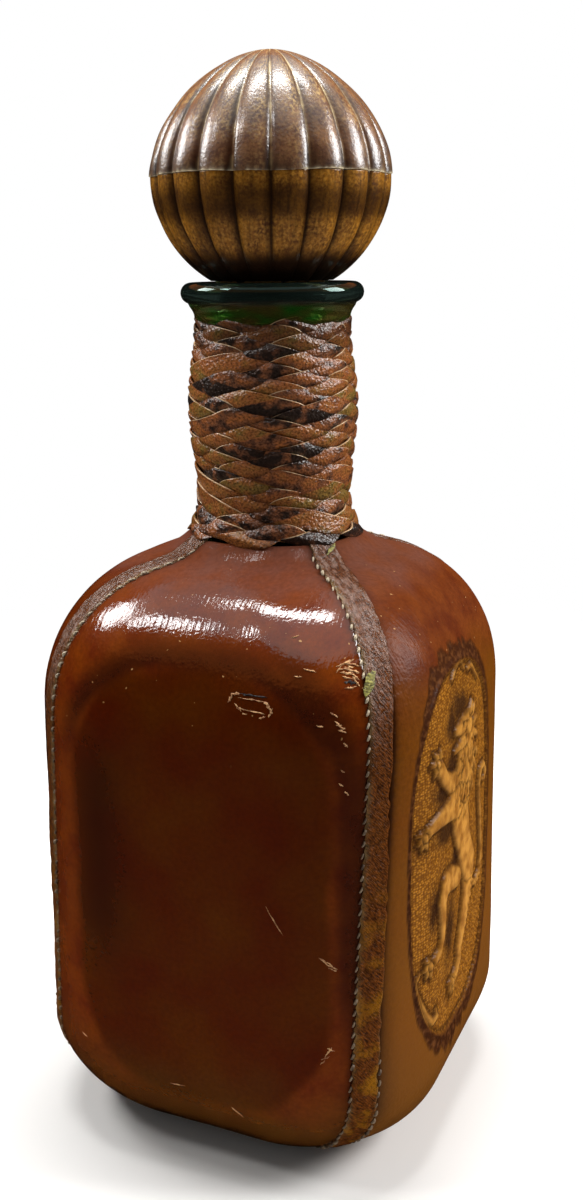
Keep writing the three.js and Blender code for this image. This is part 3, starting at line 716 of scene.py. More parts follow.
# a side panel: rows up the profile, columns between its two seams; its edges roll in, its skin waves a little
# field and fieldRound place the painted dark reflection on the plain panels
panelShape = {"columns": 150, "rowGap": 1.0, "roll": 1.5, "wave": 0.13, "pucker": 0.22, "stitchPitch": 2.6,
              "under": 1.2, "field": (1.8, 69.0, 31.8, 51.0), "fieldRound": 26.0, "grimeTop": 36}
# the tooled one has finer rows over its oval
tooledShape = {"columns": 176, "rowGap": 1.15, "fineGap": 0.5, "fineFrom": 24.0, "fineTo": 120.0,
               "grimeTop": 44}


# places of the rows up the profile, at even gaps
def panelRows(isTooled):
    if not isTooled:
        return np.linspace(0, pathLength, int(pathLength / panelShape["rowGap"]) + 1)
    low, high = pathAtHeight(tooledShape["fineFrom"]), pathAtHeight(tooledShape["fineTo"])
    counts = [int(low / tooledShape["rowGap"]), int((high - low) / tooledShape["fineGap"]),
              int((pathLength - high) / tooledShape["rowGap"])]
    parts = [np.linspace(0, low, counts[0], False), np.linspace(low, high, counts[1], False),
             np.linspace(high, pathLength, counts[2])]
    return np.concatenate(parts)


# slow waves of a panel's skin in mm: two sizes of value noise
def skinWave(face, along, path):
    wave = mottle(along / 13 + 20 * face, path / 17, 21) + 0.4 * mottle(along / 5 + 20 * face, path / 6, 22)
    return panelShape["wave"] * wave


# how a panel is coloured, as shares: on the plain panels the dark field is a painted dark reflection, a
# rounded rectangle whose edge wanders, and bands of painted dark reflection lie above it, outside it on its
# right and more faintly inside it on its left; on the tooled panel the field is the ochre dye below and the
# band is grime low down and by the front corner; the skin creases on the bend, grime creeps up from the foot,
# and dust dulls the varnish by the neck, where a grey tint is partly painted sheen
def panelStains(face, along, height, isTooled):
    s = panelShape
    x, z, wide, tall = s["field"]
    fieldX = np.abs(along - x) - wide + s["fieldRound"]
    fieldZ = np.abs(height - z) - tall + s["fieldRound"]
    outside = np.hypot(np.maximum(fieldX, 0), np.maximum(fieldZ, 0))
    outside = outside + np.minimum(np.maximum(fieldX, fieldZ), 0)
    beyond = outside - s["fieldRound"]  # in mm past the field's edge
    bend = ease(wallTop - 4, wallTop + 16, height) * (1 - 0.5 * ease(bodyTop - 9, bodyTop, height))
    bend = bend + 0.7 * ease(bodyTop - 1, bodyTop + 3, height)
    if isTooled:
        field = ease(123, 103, height + 3 * mottle(along / 11 + 3, height / 9, 24))
        band = np.maximum(0.5 * ease(50, 16, height), 0.6 * ease(-34, -44, along) * ease(70, 30, height))
    else:
        # painted dark reflection: a dark field on the flat face, and bands by its right and top edges and
        # inside its left
        field = ease(1.5, -2.0, beyond + 1.2 * mottle(along / 9 + 7, height / 9 + 5 * face, 23))
        right = 0.7 * ease(-1.5, 3.0, beyond) * ease(12, 5, beyond) * ease(12, 26, along)
        above = 0.75 * ease(-1.5, 1.5, beyond) * ease(8, 2, beyond) * ease(92, 112, height)
        inner = 0.6 * np.exp(-((along + 23) / 7.0) ** 2) * ease(40, 62, height) * ease(108, 90, height)
        band = np.maximum(right * ease(28, 55, height), above) + inner
    grimeTop = (tooledShape if isTooled else s)["grimeTop"]
    foot = 0.85 * ease(grimeTop, 8, height + 3 * mottle(along / 9 + 5, height / 7, 25))
    dull = ease(bodyTop - 8, bodyTop + 0.5, height + 2 * mottle(along / 5 + 9, height / 5, 26))
    return {"field": field, "bend": bend, "band": band, "foot": foot, "dull": dull}


# share runs from -1 to 1 between the seams; the edges sink as a quarter round and pucker by a cosine of the
# stitches, which fades from the seam
def sidePanel(name, face, isTooled):
    s = panelShape
    path = panelRows(isTooled)[:, None]
    t = stepAtPath(path)
    height = bodyProfile(t)[1]
    share = np.linspace(-1, 1, (tooledShape if isTooled else s)["columns"])[None]
    corner, drift = seamPlace(t)
    reach = corner - body["stripHalf"] + s["under"]  # the edges run on under the strips
    along = drift + share * reach
    toSeam = (1 - np.abs(share)) * reach
    toEnd = np.minimum(path, pathLength - path)
    toEdge = np.minimum(toSeam, toEnd)
    shown = np.maximum(toSeam - 0.9, 0)
    curl = 1 - np.clip(toEdge / s["roll"], 0, 1)
    sink = body["leather"] / 2 * (1 - np.sqrt(np.clip(1 - curl ** 2, 0, 1)))
    pucker = np.exp(-shown / 1.8) * (0.5 + 0.5 * np.cos(2 * np.pi * path / s["stitchPitch"]))
    relief = skinWave(face, along, path) * ease(0, 4, toEdge) - s["pucker"] * pucker * ease(0, 1.2, toSeam)
    layers = panelStains(face, along, height, isTooled)
    if isTooled:
        tooling, shares = medallionRelief(along, height)
        relief = relief * 0.6 + tooling
        layers.update(shares, tan=0.7 * ease(108, 40, height) * ease(-45, -36, along))
    outer = onCover(face, along, t, sink - relief)
    lining = onCover(face, along, t, body["leather"] - sink)
    # edge is painted shade along the seams and at the ends, where the panel runs under the strips and the
    # braid
    layers.update(edge=0.8 * np.exp(-np.minimum(shown, toEnd)), lay=layOnFace(face, along, path))
    material = leatherTooled if isTooled else leatherCover
    piece = makePiece(name + "_hide", [outer, lining], shellFaces(*along.shape), material, **layers)
    dress(piece, "bottle", "cover_leather", name)


for face, side in enumerate(("front", "right", "back", "left")):
    sidePanel(side + "_panel", face, side == "right")
print("side panels made")

# a corner strip: one raw scalloped edge over the seam, the other turned down onto the next panel, and a nap
stripShape = {"columns": 26, "rowGap": 0.6, "proud": 0.25, "overLeft": -0.45, "overRight": -0.1,
              "scallop": 0.2, "ragged": 0.35, "roll": 0.9, "ground": 0.55, "stand": 0.02}


# its two half widths vary with the way up: the left one by a cosine of the stitches, the right one with the
# height, both by value noise; its thickness falls off at the edges as a quarter round
def cornerStrip(name, face):
    s = stripShape
    path = np.linspace(0, pathLength, int(pathLength / s["rowGap"]) + 1)[:, None]
    t = stepAtPath(path)
    height = bodyProfile(t)[1]
    corner, drift = seamPlace(t)
    share = np.linspace(-1, 1, s["columns"])[None]
    scallop = s["scallop"] * np.cos(2 * np.pi * path / panelShape["stitchPitch"])
    ragged = s["ragged"] * mottle(path / 2.1, face * 7.3, 31)
    trim = 1.1 * ease(108, 128, height) - 0.8 * np.exp(-((height - 95) / 14) ** 2)  # wider on the shoulder
    left = body["stripHalf"] + s["overLeft"] + scallop + 0.5 * ragged
    right = body["stripHalf"] + s["overRight"] + trim + ragged
    aside = np.where(share < 0, share * left, share * right)
    flip = 1 if face % 2 == 0 else -1  # the raw edge lies against the front and back panels
    along = corner + drift + flip * aside
    toEdge = np.minimum(np.minimum(left + aside, right - aside), np.minimum(path, pathLength - path))
    curl = 1 - np.clip(toEdge / s["roll"], 0, 1)
    thin = np.sqrt(np.clip(1 - curl ** 2, 0, 1))
    nap = 0.16 * mottle(along / 0.9 + path / 1.6, path / 2.2, 33 + face)
    nap = nap + 0.2 * mottle(along / 4, path / 5, 43 + face)
    lift = s["proud"] * (0.35 + 0.65 * ease(0, 3, right - aside)) + nap * ease(0, 1.5, toEdge)
    outer = onCover(face, along, t, s["ground"] - (s["ground"] + lift) * thin)
    outer[..., 2] = np.maximum(outer[..., 2], s["stand"])  # flat where the bottle stands on it
    lining = onCover(face, along, t, s["ground"] + (body["leather"] - s["ground"]) * thin)
    rawEdge = np.exp(-np.clip(left + aside, 0, 9) / 0.35) * (0.55 + 0.45 * mottle(path / 3, 3, 35))
    turned = 0.35 * np.exp(-np.clip(right - aside, 0, 9) / 0.3) * ease(70, 10, height)
    edge = np.clip(rawEdge * (0.45 + 0.55 * ease(60, 125, height)) + turned, 0, 1)
    faces = shellFaces(*along.shape)[:, ::flip]
    piece = makePiece(name + "_hide", [outer, lining], faces, leatherStrip, edge=edge,
                      low=ease(100, 20, height), high=ease(100, 132, height),
                      lay=layOnFace(face, along, path))
    dress(piece, "bottle", "strip_leather", name)


# stitches along a seam: short slanted capsules whose ends dive into the leather
stitchShape = {"length": 1.6, "radius": 0.3, "slant": 0.3, "aside": -0.2, "rise": 0.16, "dive": 0.75,
               "hidden": 0.55, "margin": 3.0, "rings": 7, "sides": 6}


# each stitch is a ring carried along x from -1 to 1: its radius is the root of 1 - x², and it dives
# as x to the fourth
def seamStitches(name, face, side):
    s = stitchShape
    pitch = panelShape["stitchPitch"]
    count = int((pathLength - 2 * s["margin"]) / pitch)
    middle = (s["margin"] + pitch * (np.arange(count) + 0.5))[:, None, None]
    x = np.linspace(-1, 1, s["rings"])[None, :, None]
    turn = fullTurn(s["sides"])[None]
    wander = mottle(middle / 3.3, 5 + side, 61 + face)
    path = middle + x * s["length"] / 2 + 0.25 * wander
    radius = s["radius"] * (1 + 0.4 * wander) * np.sqrt(1 - (0.999 * x) ** 2)
    t = stepAtPath(path)
    height = bodyProfile(t)[1]
    corner, drift = seamPlace(t)
    centre = corner + drift + side * (body["stripHalf"] + s["aside"]) + s["slant"] * x + 0.12 * wander
    isTurned = side == (1 if face % 2 == 0 else -1)  # the turned edge covers its own row, but for the foot
    covered = (s["hidden"] + s["rise"]) * ease(26, 40, height) if isTurned else 0
    depth = covered - s["rise"] * (1 + 1.2 * wander) + s["dive"] * x ** 4
    along = centre + radius * np.cos(turn)
    points = onCover(face, along, t, depth - radius * np.sin(turn))
    points[:, 0] = points[:, 0].mean(1, keepdims=True)  # each end closes to a point
    points[:, -1] = points[:, -1].mean(1, keepdims=True)
    ring = gridFaces(s["rings"], s["sides"], wrap=True)[:, ::-1]
    starts = np.arange(count)[:, None, None] * s["rings"] * s["sides"]
    piece = makePiece(name + "_stitches", points, (ring[None] + starts).reshape(-1, 4), threadMaterial,
                      lay=pointsAt(along, path, 0), high=ease(95, 125, height))
    dress(piece, "bottle", "waxed_thread", name)


for face, corner in enumerate(("front_right", "back_right", "back_left", "front_left")):
    cornerStrip("corner_strip_" + corner, face)
    seamStitches(f"seam_thread_{corner}_1", face, -1)
    seamStitches(f"seam_thread_{corner}_2", face, 1)
print("corner strips and stitches made")

# the neck braid: eight strips climb each way and go over one, under one
neck = {"radius": 15.9, "bulge": 1.85, "waist": 13.0, "height": 56.0, "flare": 6.5, "flarePower": 1.7}
waistTop = bodyTop + neck["waist"]
lipFoot = bodyTop + neck["height"]
braid = {
    "strips": 8, "steps": 24, "rows": 249, "across": (-1, -0.93, -0.85, -0.45, 0.0, 0.45, 0.85, 0.93, 1),
    "slips": 0.1, "foot": 143.2, "rowHeight": 4.13, "lining": 0.8, "clear": 0.95, "tone": (0.48, 0.27),
    "width": 1.0, "leaf": 0.2, "thickness": 0.5, "crown": 0.12, "weave": 0.66, "tilt": 0.3, "tuck": 0.45,
    "lean": 6.2,
}
# +1 where the rising strip lies over the falling one, by rising strip and step; now and then the plaiter
# slipped
stepCount = braid["steps"] + 3
slipped = np.random.default_rng(17).random((braid["strips"], stepCount)) < braid["slips"]
crossings = np.where(slipped, -1, 1) * (-1.0) ** np.arange(stepCount)


# the glass swells between waist and lip as the square of a sine
def neckRadius(height):
    swell = np.clip((height - waistTop) / (lipFoot - waistTop), 0, 1)
    return neck["radius"] + neck["bulge"] * np.sin(np.pi * swell) ** 2


# the braid lies outside it and flares below the waist as a power of the way down
def braidRadius(height):
    flare = np.clip((waistTop - height) / neck["waist"], 0, 1.15) ** neck["flarePower"]
    return neckRadius(height) + braid["lining"] + braid["clear"] + neck["flare"] * flare


# a strip is a thin crowned band on the braid's slanted lattice: one way counts p, the other q, with the angle
# (p + q) / strips half turns and the height (q - p) half rows; it swings in and out by smoothsteps between
# crossings and is widest where it lies outside, so that it shows as a leaf
def neckStrip(name, index, isRising):
    s = braid
    seed = 100 + 2 * index + isRising
    step = np.linspace(-s["tuck"], s["steps"] + s["tuck"], s["rows"])[:, None]
    skin = np.array(s["across"])
    across = np.concatenate([skin, skin[::-1]])[None]
    inOut = np.repeat([0.5, -0.5], skin.size)[None]
    upward = -across if isRising else across
    count = np.arange(-1, s["steps"] + 2)
    sides = crossings[index if isRising else (index - count) % s["strips"], count] * (1 if isRising else -1)
    before = np.floor(step).astype(int) + 1
    outside = sides[before] + (sides[before + 1] - sides[before]) * ease(0, 1, step - np.floor(step))
    wander = mottle(step / 1.9, index * 3.1, seed)
    width = s["width"] * (1 + s["leaf"] * outside) * (1 + 0.2 * mottle(step / 1.3, 9, seed))
    aside = across * width / 2 + 0.17 * wander
    p = index + aside if isRising else index - step
    q = index + step if isRising else index + aside
    turn = (p + q) * np.pi / s["strips"]
    z = s["foot"] + (q - p) * s["rowHeight"] / 2
    crown = s["crown"] * (1 - across ** 2) + s["tilt"] * upward * (1 + outside) / 2
    ends = np.maximum(ease(0.15, -s["tuck"], step), ease(s["steps"] - 0.15, s["steps"] + s["tuck"], step))
    out = s["weave"] * outside * (1 - ends) - 0.7 * ends + crown + inOut * s["thickness"]
    out = out + 0.1 * mottle(step / 0.5 + across, across * 1.3 + 4, seed + 50) + 0.12 * wander
    points = roundAxis(braidRadius(z) + out, turn, z)
    points[0] = points[0].mean(0)  # both ends close to a point
    points[-1] = points[-1].mean(0)
    tones = np.clip(np.random.default_rng(seed).normal(*s["tone"], s["steps"] + 3), 0.04, 0.96)
    tone = tones[np.clip(np.floor(step + 1.5), 0, s["steps"] + 2).astype(int)] - 0.2 * ease(184, 192, z)
    # the cut edges are pale, and paler on the upper side as painted highlight
    cutEdge = (np.abs(across) > 0.97) * (0.55 + 0.45 * upward) * ease(-0.5, 0.4, mottle(step * 1.7, 2, seed))
    # painted shade where the strip dives under the next and along its lower edge; the top ring is darker too
    dives = np.maximum(0.85 * ease(0.1, -0.75, outside), 0.75 * ease(0.62, 1.0, -upward))
    shade = np.maximum(dives * (np.abs(across) < 0.99), 0.6 * ease(184, 191, z))
    stepLength = math.hypot(braidRadius(170.0) * np.pi / s["strips"], s["rowHeight"] / 2)
    lean = s["lean"] if isRising else -s["lean"]  # the lattice's skew, so that the grain isn't drawn out
    lay = pointsAt(step * stepLength + lean * aside + 400 * index, 4.3 * aside + 90 * isRising, 0)
    piece = makePiece(name + "_plait", points, gridFaces(s["rows"], across.size, wrap=True), leatherBraid,
                      tone=tone, edge=np.clip(cutEdge, 0, 1), shade=shade, lay=lay)
    dress(piece, "bottle", "neck_leather", name)


for index in range(braid["strips"]):
    neckStrip(f"neck_strip_rising_{index + 1}", index, True)
    neckStrip(f"neck_strip_falling_{index + 1}", index, False)
print("neck braid made")

# the bottle: rounded square body under the leather, round neck, lip with a bead; one closed wall
glass = {"wall": 3.5, "neckWall": 3.0, "gap": 0.3, "fillet": 6.0, "columns": 128, "collar": (18.6, 19.7),
         "collarRise": 2.7, "lipTop": 202.0, "bead": 2.5, "beadCentre": (19.3, 199.5)}


# rings from the middle of the foot up the outside, over the lip and down the inside: those of the body follow
# the cover's outline at a depth, those of the neck and the lip are circles
def glassBottle():
    s = glass
    columns = np.arange(s["columns"])
    perFace = s["columns"] // 4
    turn = 2 * np.pi * (columns + 0.5) / s["columns"] - 0.75 * np.pi
    within = (columns % perFace + 0.5) / perFace * 2 - 1

    def bodyRing(t, depth):
        return onCover(columns // perFace, within * seamPlace(t)[0], t, depth)

    depth = body["leather"] + s["gap"]
    steps = np.concatenate([np.linspace(0, 1, 13), np.linspace(2, 2.8, 11)])
    rings = [roundAxis(0, turn, depth)]
    rings += [bodyRing(t, depth) for t in steps]
    for angle in np.linspace(0, np.pi / 2, 6):
        reach, rise = s["fillet"] * (1 - math.sin(angle)), s["fillet"] * (1 - math.cos(angle))
        rings.append(roundAxis(neck["radius"] + reach, turn, bodyTop - depth + rise))
    rings += [roundAxis(neckRadius(z), turn, z) for z in np.linspace(bodyTop + 6, lipFoot - 2.2, 12)]
    low, high = s["collar"]
    lip = [(low - 1.6, lipFoot - 1.8), (low - 0.4, lipFoot - 1.2)]
    lip += [(low + (high - low) * (k / 5) ** 2, lipFoot - 0.4 + s["collarRise"] * k / 5) for k in range(6)]
    middle, level = s["beadCentre"]
    lip += [(middle + s["bead"] * math.cos(angle), level + s["bead"] * math.sin(angle))
            for angle in np.radians(np.linspace(-72, 90, 15))]
    bore = neck["radius"] - s["neckWall"]
    lip += [(bore + 0.8, s["lipTop"]), (bore + 0.2, s["lipTop"] - 0.3), (bore, s["lipTop"] - 1)]
    lip += [(bore, z) for z in np.linspace(lipFoot, bodyTop - 1, 8)]
    rings += [roundAxis(radius, turn, z) for radius, z in lip]
    rings += [bodyRing(t, depth + s["wall"]) for t in steps[::-1]]
    rings.append(roundAxis(0, turn, depth + s["wall"]))
    faces = gridFaces(len(rings), s["columns"], wrap=True)
    piece = makePiece("glass_bottle_clear", rings, faces, bottleGlass())
    dress(piece, "bottle", "bottle_glass", "glass_bottle")


glassBottle()
print("bottle made")

# the ball of the stopper: twenty moulded ribs, a domed upper cover whose cut edge overhangs the lower one
ball = {
    "radius": 28.3, "crownRise": 28.1, "crownPower": 1.75, "foot": 202.3, "footRadius": 14.5,
    "ribs": 20, "ribPhase": 5.8, "ribDepth": 1.15, "ribPower": 2.0, "creaseDepth": 0.5, "creaseWidth": 0.08,
    "perRib": 24, "rows": 96, "cover": 2.0, "overhang": 0.14, "hang": 0.45, "uneven": 0.14,
}
ballSeam = ball["foot"] + math.sqrt(ball["radius"] ** 2 - ball["footRadius"] ** 2)


# ribs round the ball: each swells and falls off to its sides as a power, with a sharp crease between two
# gives how deep the skin sinks in mm, and the place across the rib from -1 to 1
def ribs(turn, radius):
    s = ball
    off = (((turn - math.radians(s["ribPhase"])) * s["ribs"] / (2 * np.pi)) % 1) * 2 - 1
    crease = s["creaseDepth"] * np.exp(-(1 - np.abs(off)) / s["creaseWidth"])
    return (s["ribDepth"] * np.abs(off) ** s["ribPower"] + crease) * radius / s["radius"], off


# how the upper cover is coloured, as shares: gilding is left in the creases and more of it lies on one flank
# of each rib as painted sheen, the other flank darkens as painted shade, and the cut edge is pale where it is
# nicked
def upperWear(turn, u, radius, height, off, wander):
    toEdge, size = np.abs(height - ballSeam), np.abs(off)
    streak = mottle(height / 3, turn * 3.2, 75)
    fromCrease = (1 - size) * np.pi * radius / ball["ribs"]  # in mm
    broken = 0.5 * streak + 0.5 * mottle(height / 1.1, turn * 7, 76)
    crease = np.exp(-(fromCrease / (0.17 + 0.11 * broken)) ** 2) * np.clip(0.6 + 0.8 * broken, 0, 1)
    glow = (0.35 + 0.65 * ease(2, 16, toEdge)) * (0.75 + 0.4 * streak)
    nicks = mottle(np.cos(turn) * 34 + 50, np.sin(turn) * 34 + 50, 78)
    edge = np.exp(-np.clip(u, 0, 9) / (0.012 + 0.007 * nicks))
    return {
        "crease": crease * (0.35 + 0.65 * ease(2, 13, toEdge)),
        # flank is painted shade on one side of each rib, and darker near the seam; glow puts more gilt on the
        # other side as painted sheen
        "flank": 0.85 * ease(0.5, 0.9, size) * ease(-1.0, -0.6, off) + 0.3 * ease(7, 0, toEdge),
        "glow": glow * (0.4 + 0.6 * ease(-0.3, 0.5, off)),
        "edge": edge * np.clip(0.5 + 0.4 * wander + 0.6 * nicks, 0.05, 1),
    }


# the lower one has two patchy bands of worn gilding, dark creases and painted shade on one flank of each rib,
# and it is dark towards the bottom
def lowerWear(turn, height, off):
    toEdge = np.abs(height - ballSeam)
    band = 0.85 * ease(6, 1.0, toEdge) + ease(8.5, 13, toEdge) * ease(20.5, 15.5, toEdge)
    patch = mottle(np.cos(turn) * 4 + 11, np.sin(turn) * 4 + height / 9, 77)
    patch = patch + 0.7 * mottle(np.cos(turn) * 15 + 40, np.sin(turn) * 15 + 40 + height / 16, 79)
    return {
        "crease": 0.9 * ease(0.86, 0.97, np.abs(off)),
        # painted shade: one flank of each rib darker than the other
        "flank": 0.55 * ease(0.45, 0.9, off) + 0.2 * ease(0.6, 0.95, -off),
        "glow": band * (0.75 + 0.35 * patch) + 0.3 * ease(20, 15, toEdge),
        "edge": np.zeros_like(off),
    }


# u is the angle above the seam: the lower half is a sphere, the upper a superellipse turned round the axis
def ballCover(name, isUpper):
    s = ball
    columns = s["ribs"] * s["perRib"]
    turn = fullTurn(columns)
    wander = mottle(turn * 9 / np.pi, 3, 71) * ease(0, 0.2, turn) * ease(2 * np.pi, 2 * np.pi - 0.2, turn)
    if isUpper:
        u = (np.linspace(0, 1, s["rows"]) ** 1.15 * np.pi / 2)[:, None]
        radius = s["radius"] * np.cos(u) ** (2 / s["crownPower"]) + s["overhang"] * ease(0.35, 0, u)
        radius[-1] = 0
        height = ballSeam + s["crownRise"] * np.sin(u) ** (2 / s["crownPower"]) - s["hang"] * ease(0.25, 0, u)
        edgeWave, liningHeight = 0.32 * wander * ease(0.16, 0, u), ballSeam + (height - ballSeam) * 0.93
    else:
        low = math.asin((s["foot"] - ballSeam) / s["radius"])
        u = np.linspace(low, -0.012, s["rows"])[:, None]
        radius = s["radius"] * np.cos(u) - s["overhang"] * ease(-0.3, 0, u)
        height = ballSeam + s["radius"] * np.sin(u)
        edgeWave, liningHeight = 0, height
    sink, off = ribs(turn, radius)
    uneven = s["uneven"] * mottle(np.cos(turn) * 6 + 20, np.sin(turn) * 6 + height / 5, 73)
    skin = roundAxis(radius - sink + uneven * ease(0, 6, radius), turn, height + edgeWave)
    lining = roundAxis(np.maximum(radius - s["cover"], 0), turn, liningHeight)

    # the upper cover runs from its lining round the edge to its skin, the lower one on to where it began
    def closed(outer, inner):
        return np.concatenate([inner[::-1], outer] if isUpper else [outer, inner[::-1], outer[:1]])

    lay = pointsAt(turn * s["radius"], height, 0)
    layers = {"lay": closed(lay, lay)}
    shares = upperWear(turn, u, radius, height, off, wander) if isUpper else lowerWear(turn, height, off)
    for key, share in shares.items():
        spread = np.broadcast_to(np.clip(share, 0, 1), skin.shape[:-1])
        layers[key] = closed(spread, spread)
    rings = closed(skin, lining)
    faces = gridFaces(len(rings), columns, wrap=True)
    piece = makePiece(name + "_moulded", rings, faces, ballLeather(isUpper), **layers)
    dress(piece, "stopper", "ball_leather", name)


ballCover("stopper_upper_cover", True)
ballCover("stopper_lower_cover", False)
print("stopper covers made")

# the cork: a taper with a rounded foot and a slightly uneven skin, closed on its axis
cork = {"taper": 1.2, "round": 1.2, "uneven": 0.1, "columns": 96}


# a quarter round at the foot, then a straight line, turned round the axis
def stopperCork():
    s = cork
    low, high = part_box("stopper_cork")
    top, bottom, wide = high.z / mm, low.z / mm, high.x / mm
    foot = wide - s["taper"]
    turn = fullTurn(s["columns"])
    arc = np.linspace(0, np.pi / 2, 6)
    radius = np.concatenate([[0, foot * 0.6], foot - s["round"] * (1 - np.sin(arc)),
                             np.linspace(foot, wide, 16)[1:], [wide * 0.6, 0]])[:, None]
    height = np.concatenate([[bottom, bottom], bottom + s["round"] * (1 - np.cos(arc)),
                             np.linspace(bottom + s["round"], top, 16)[1:], [top, top]])[:, None]
    uneven = mottle(np.cos(turn) * 5 + 30 + height / 4, np.sin(turn) * 5 + 30, 81) * ease(0, 8, radius)
    skin = radius + s["uneven"] * uneven - s["uneven"] * (radius > 1)
    faces = gridFaces(len(height), s["columns"], wrap=True)
    piece = makePiece("stopper_cork_bark", roundAxis(skin, turn, height), faces, corkBark())
    dress(piece, "stopper", "cork", "stopper_cork")


stopperCork()
beech = turnedBeech()
for name in ("stopper_core", "stopper_dowel"):
    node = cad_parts[name]
    node.data.materials.clear()
    node.data.materials.append(beech)
print("cork and core made")

# the base patch: a rounded square of the cover leather, its edge rolled, flat where it stands
patchShape = {"columns": 120, "rings": 26, "trim": 0.3, "roll": 1.4, "worn": 1.5}


# along each heading the edge is the square's side or, near a diagonal, the arc of its corner
def basePatch():
    s = patchShape
    half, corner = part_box("base_patch")[1].x / mm, body["baseCorner"] - s["trim"]
    flat = half - corner
    turn = fullTurn(s["columns"])
    cosine, sine = np.abs(np.cos(turn)), np.abs(np.sin(turn))
    side = half / np.maximum(cosine, sine)
    toArc = flat * (cosine + sine)
    arc = toArc + np.sqrt(np.clip(toArc ** 2 - 2 * flat ** 2 + corner ** 2, 0, None))
    reach = np.where(np.minimum(cosine, sine) * side > flat, arc, side)
    share = np.sin(np.linspace(0, 1, s["rings"]) * np.pi / 2)[:, None]
    toEdge = (1 - share) * reach
    curl = 1 - np.clip(toEdge / s["roll"], 0, 1)
    sink = body["leather"] / 2 * (1 - np.sqrt(np.clip(1 - curl ** 2, 0, 1)))
    under = roundAxis(share * reach, turn, sink)
    above = roundAxis(share * reach, turn, body["leather"] - sink)
    rings = np.concatenate([under, above[::-1]])
    edge = np.exp(-np.concatenate([toEdge, toEdge[::-1]]) / s["worn"])
    piece = makePiece("base_patch_hide", rings, gridFaces(len(rings), s["columns"], wrap=True), leatherCover,
                      lay=rings * (1, 1, 0), edge=edge, bend=0, band=0, field=1, foot=0.6, dull=0.6)
    dress(piece, "bottle", "cover_leather", "base_patch")


basePatch()

# torn and scuffed places on the front: along the face, height, length, width, heading in degrees, glue, dark;
# the two dark ones are painted shadow in a slit and in a hole
wornMarks = [
    (15.6, 115.5, 6.6, 0.3, -2, 0, 0), (11.6, 116.3, 2.2, 0.7, 14, 0, 0), (10.6, 115.2, 2.0, 0.5, 62, 0, 0),
    (19.4, 114.6, 2.6, 0.7, -48, 0, 0), (20.2, 113.4, 2.0, 0.6, 74, 0, 0), (16.0, 113.2, 6.0, 0.3, -4, 0, 0),
    (15.8, 116.4, 6.6, 0.5, -1, 0, 1), (12.6, 113.6, 2.4, 0.5, -40, 0, 0), (18.4, 112.2, 1.6, 0.4, 20, 0, 0),
    (14.2, 112.4, 1.2, 0.4, 10, 0, 0), (34.6, 123.2, 4.2, 0.5, 18, 0, 0), (36.2, 122.8, 4.0, 0.5, -14, 0, 0),
    (34.9, 122.2, 3.8, 0.45, 6, 0, 0), (36.4, 121.7, 3.8, 0.5, -24, 0, 0), (35.4, 121.3, 3.4, 0.45, -6, 0, 0),
    (37.0, 120.7, 3.2, 0.45, -36, 0, 0), (35.6, 120.4, 2.6, 0.4, -16, 0, 0),
    (37.6, 119.6, 2.8, 0.45, -52, 0, 0), (36.6, 118.5, 2.8, 0.4, 6, 0, 0), (36.4, 119.4, 2.6, 0.8, -10, 0, 1),
    (33.4, 122.0, 1.6, 0.3, 60, 0, 0), (40.6, 119.0, 4.6, 2.8, 80, 1, 0), (27.4, 122.0, 3.0, 0.3, -14, 0, 0),
    (25.2, 120.8, 1.6, 0.3, 0, 0, 0), (33.6, 113.4, 2.0, 0.35, -34, 0, 0), (34.6, 111.6, 2.0, 0.4, -30, 0, 0),
    (35.2, 110.9, 2.2, 0.4, -30, 0, 0), (35.5, 110.0, 2.0, 0.35, -24, 0, 0),
    (36.4, 107.1, 1.2, 0.5, -30, 0, 0), (30.8, 111.2, 1.4, 0.3, -10, 0, 0),
    (35.5, 98.4, 1.2, 0.35, -40, 0, 0), (36.7, 96.4, 1.2, 0.4, -45, 0, 0),
    (35.9, 101.4, 0.9, 0.35, -40, 0, 0), (20.9, 66.8, 7.4, 0.24, -57, 0, 0),
    (32.2, 58.2, 3.6, 0.4, -34, 0, 0), (33.2, 57.2, 3.4, 0.45, -30, 0, 0), (33.6, 56.4, 2.0, 0.3, -26, 0, 0),
    (32.6, 36.8, 3.0, 0.4, 55, 0, 0), (33.2, 37.4, 1.8, 0.4, -30, 0, 0), (32.0, 35.4, 2.0, 0.35, 20, 0, 0),
    (31.4, 34.4, 1.4, 0.3, 40, 0, 0), (10.6, 17.4, 3.8, 0.35, -46, 0, 0), (-3.9, 21.3, 4.0, 0.24, 6, 0, 0),
    (-29.5, 26.9, 1.8, 0.3, -20, 0, 0), (22.6, 128.0, 1.6, 0.4, 20, 0, 0), (23.2, 140.6, 2.8, 1.7, 50, 1, 0),
]
markGrid = (19, 5)  # points along and across each mark


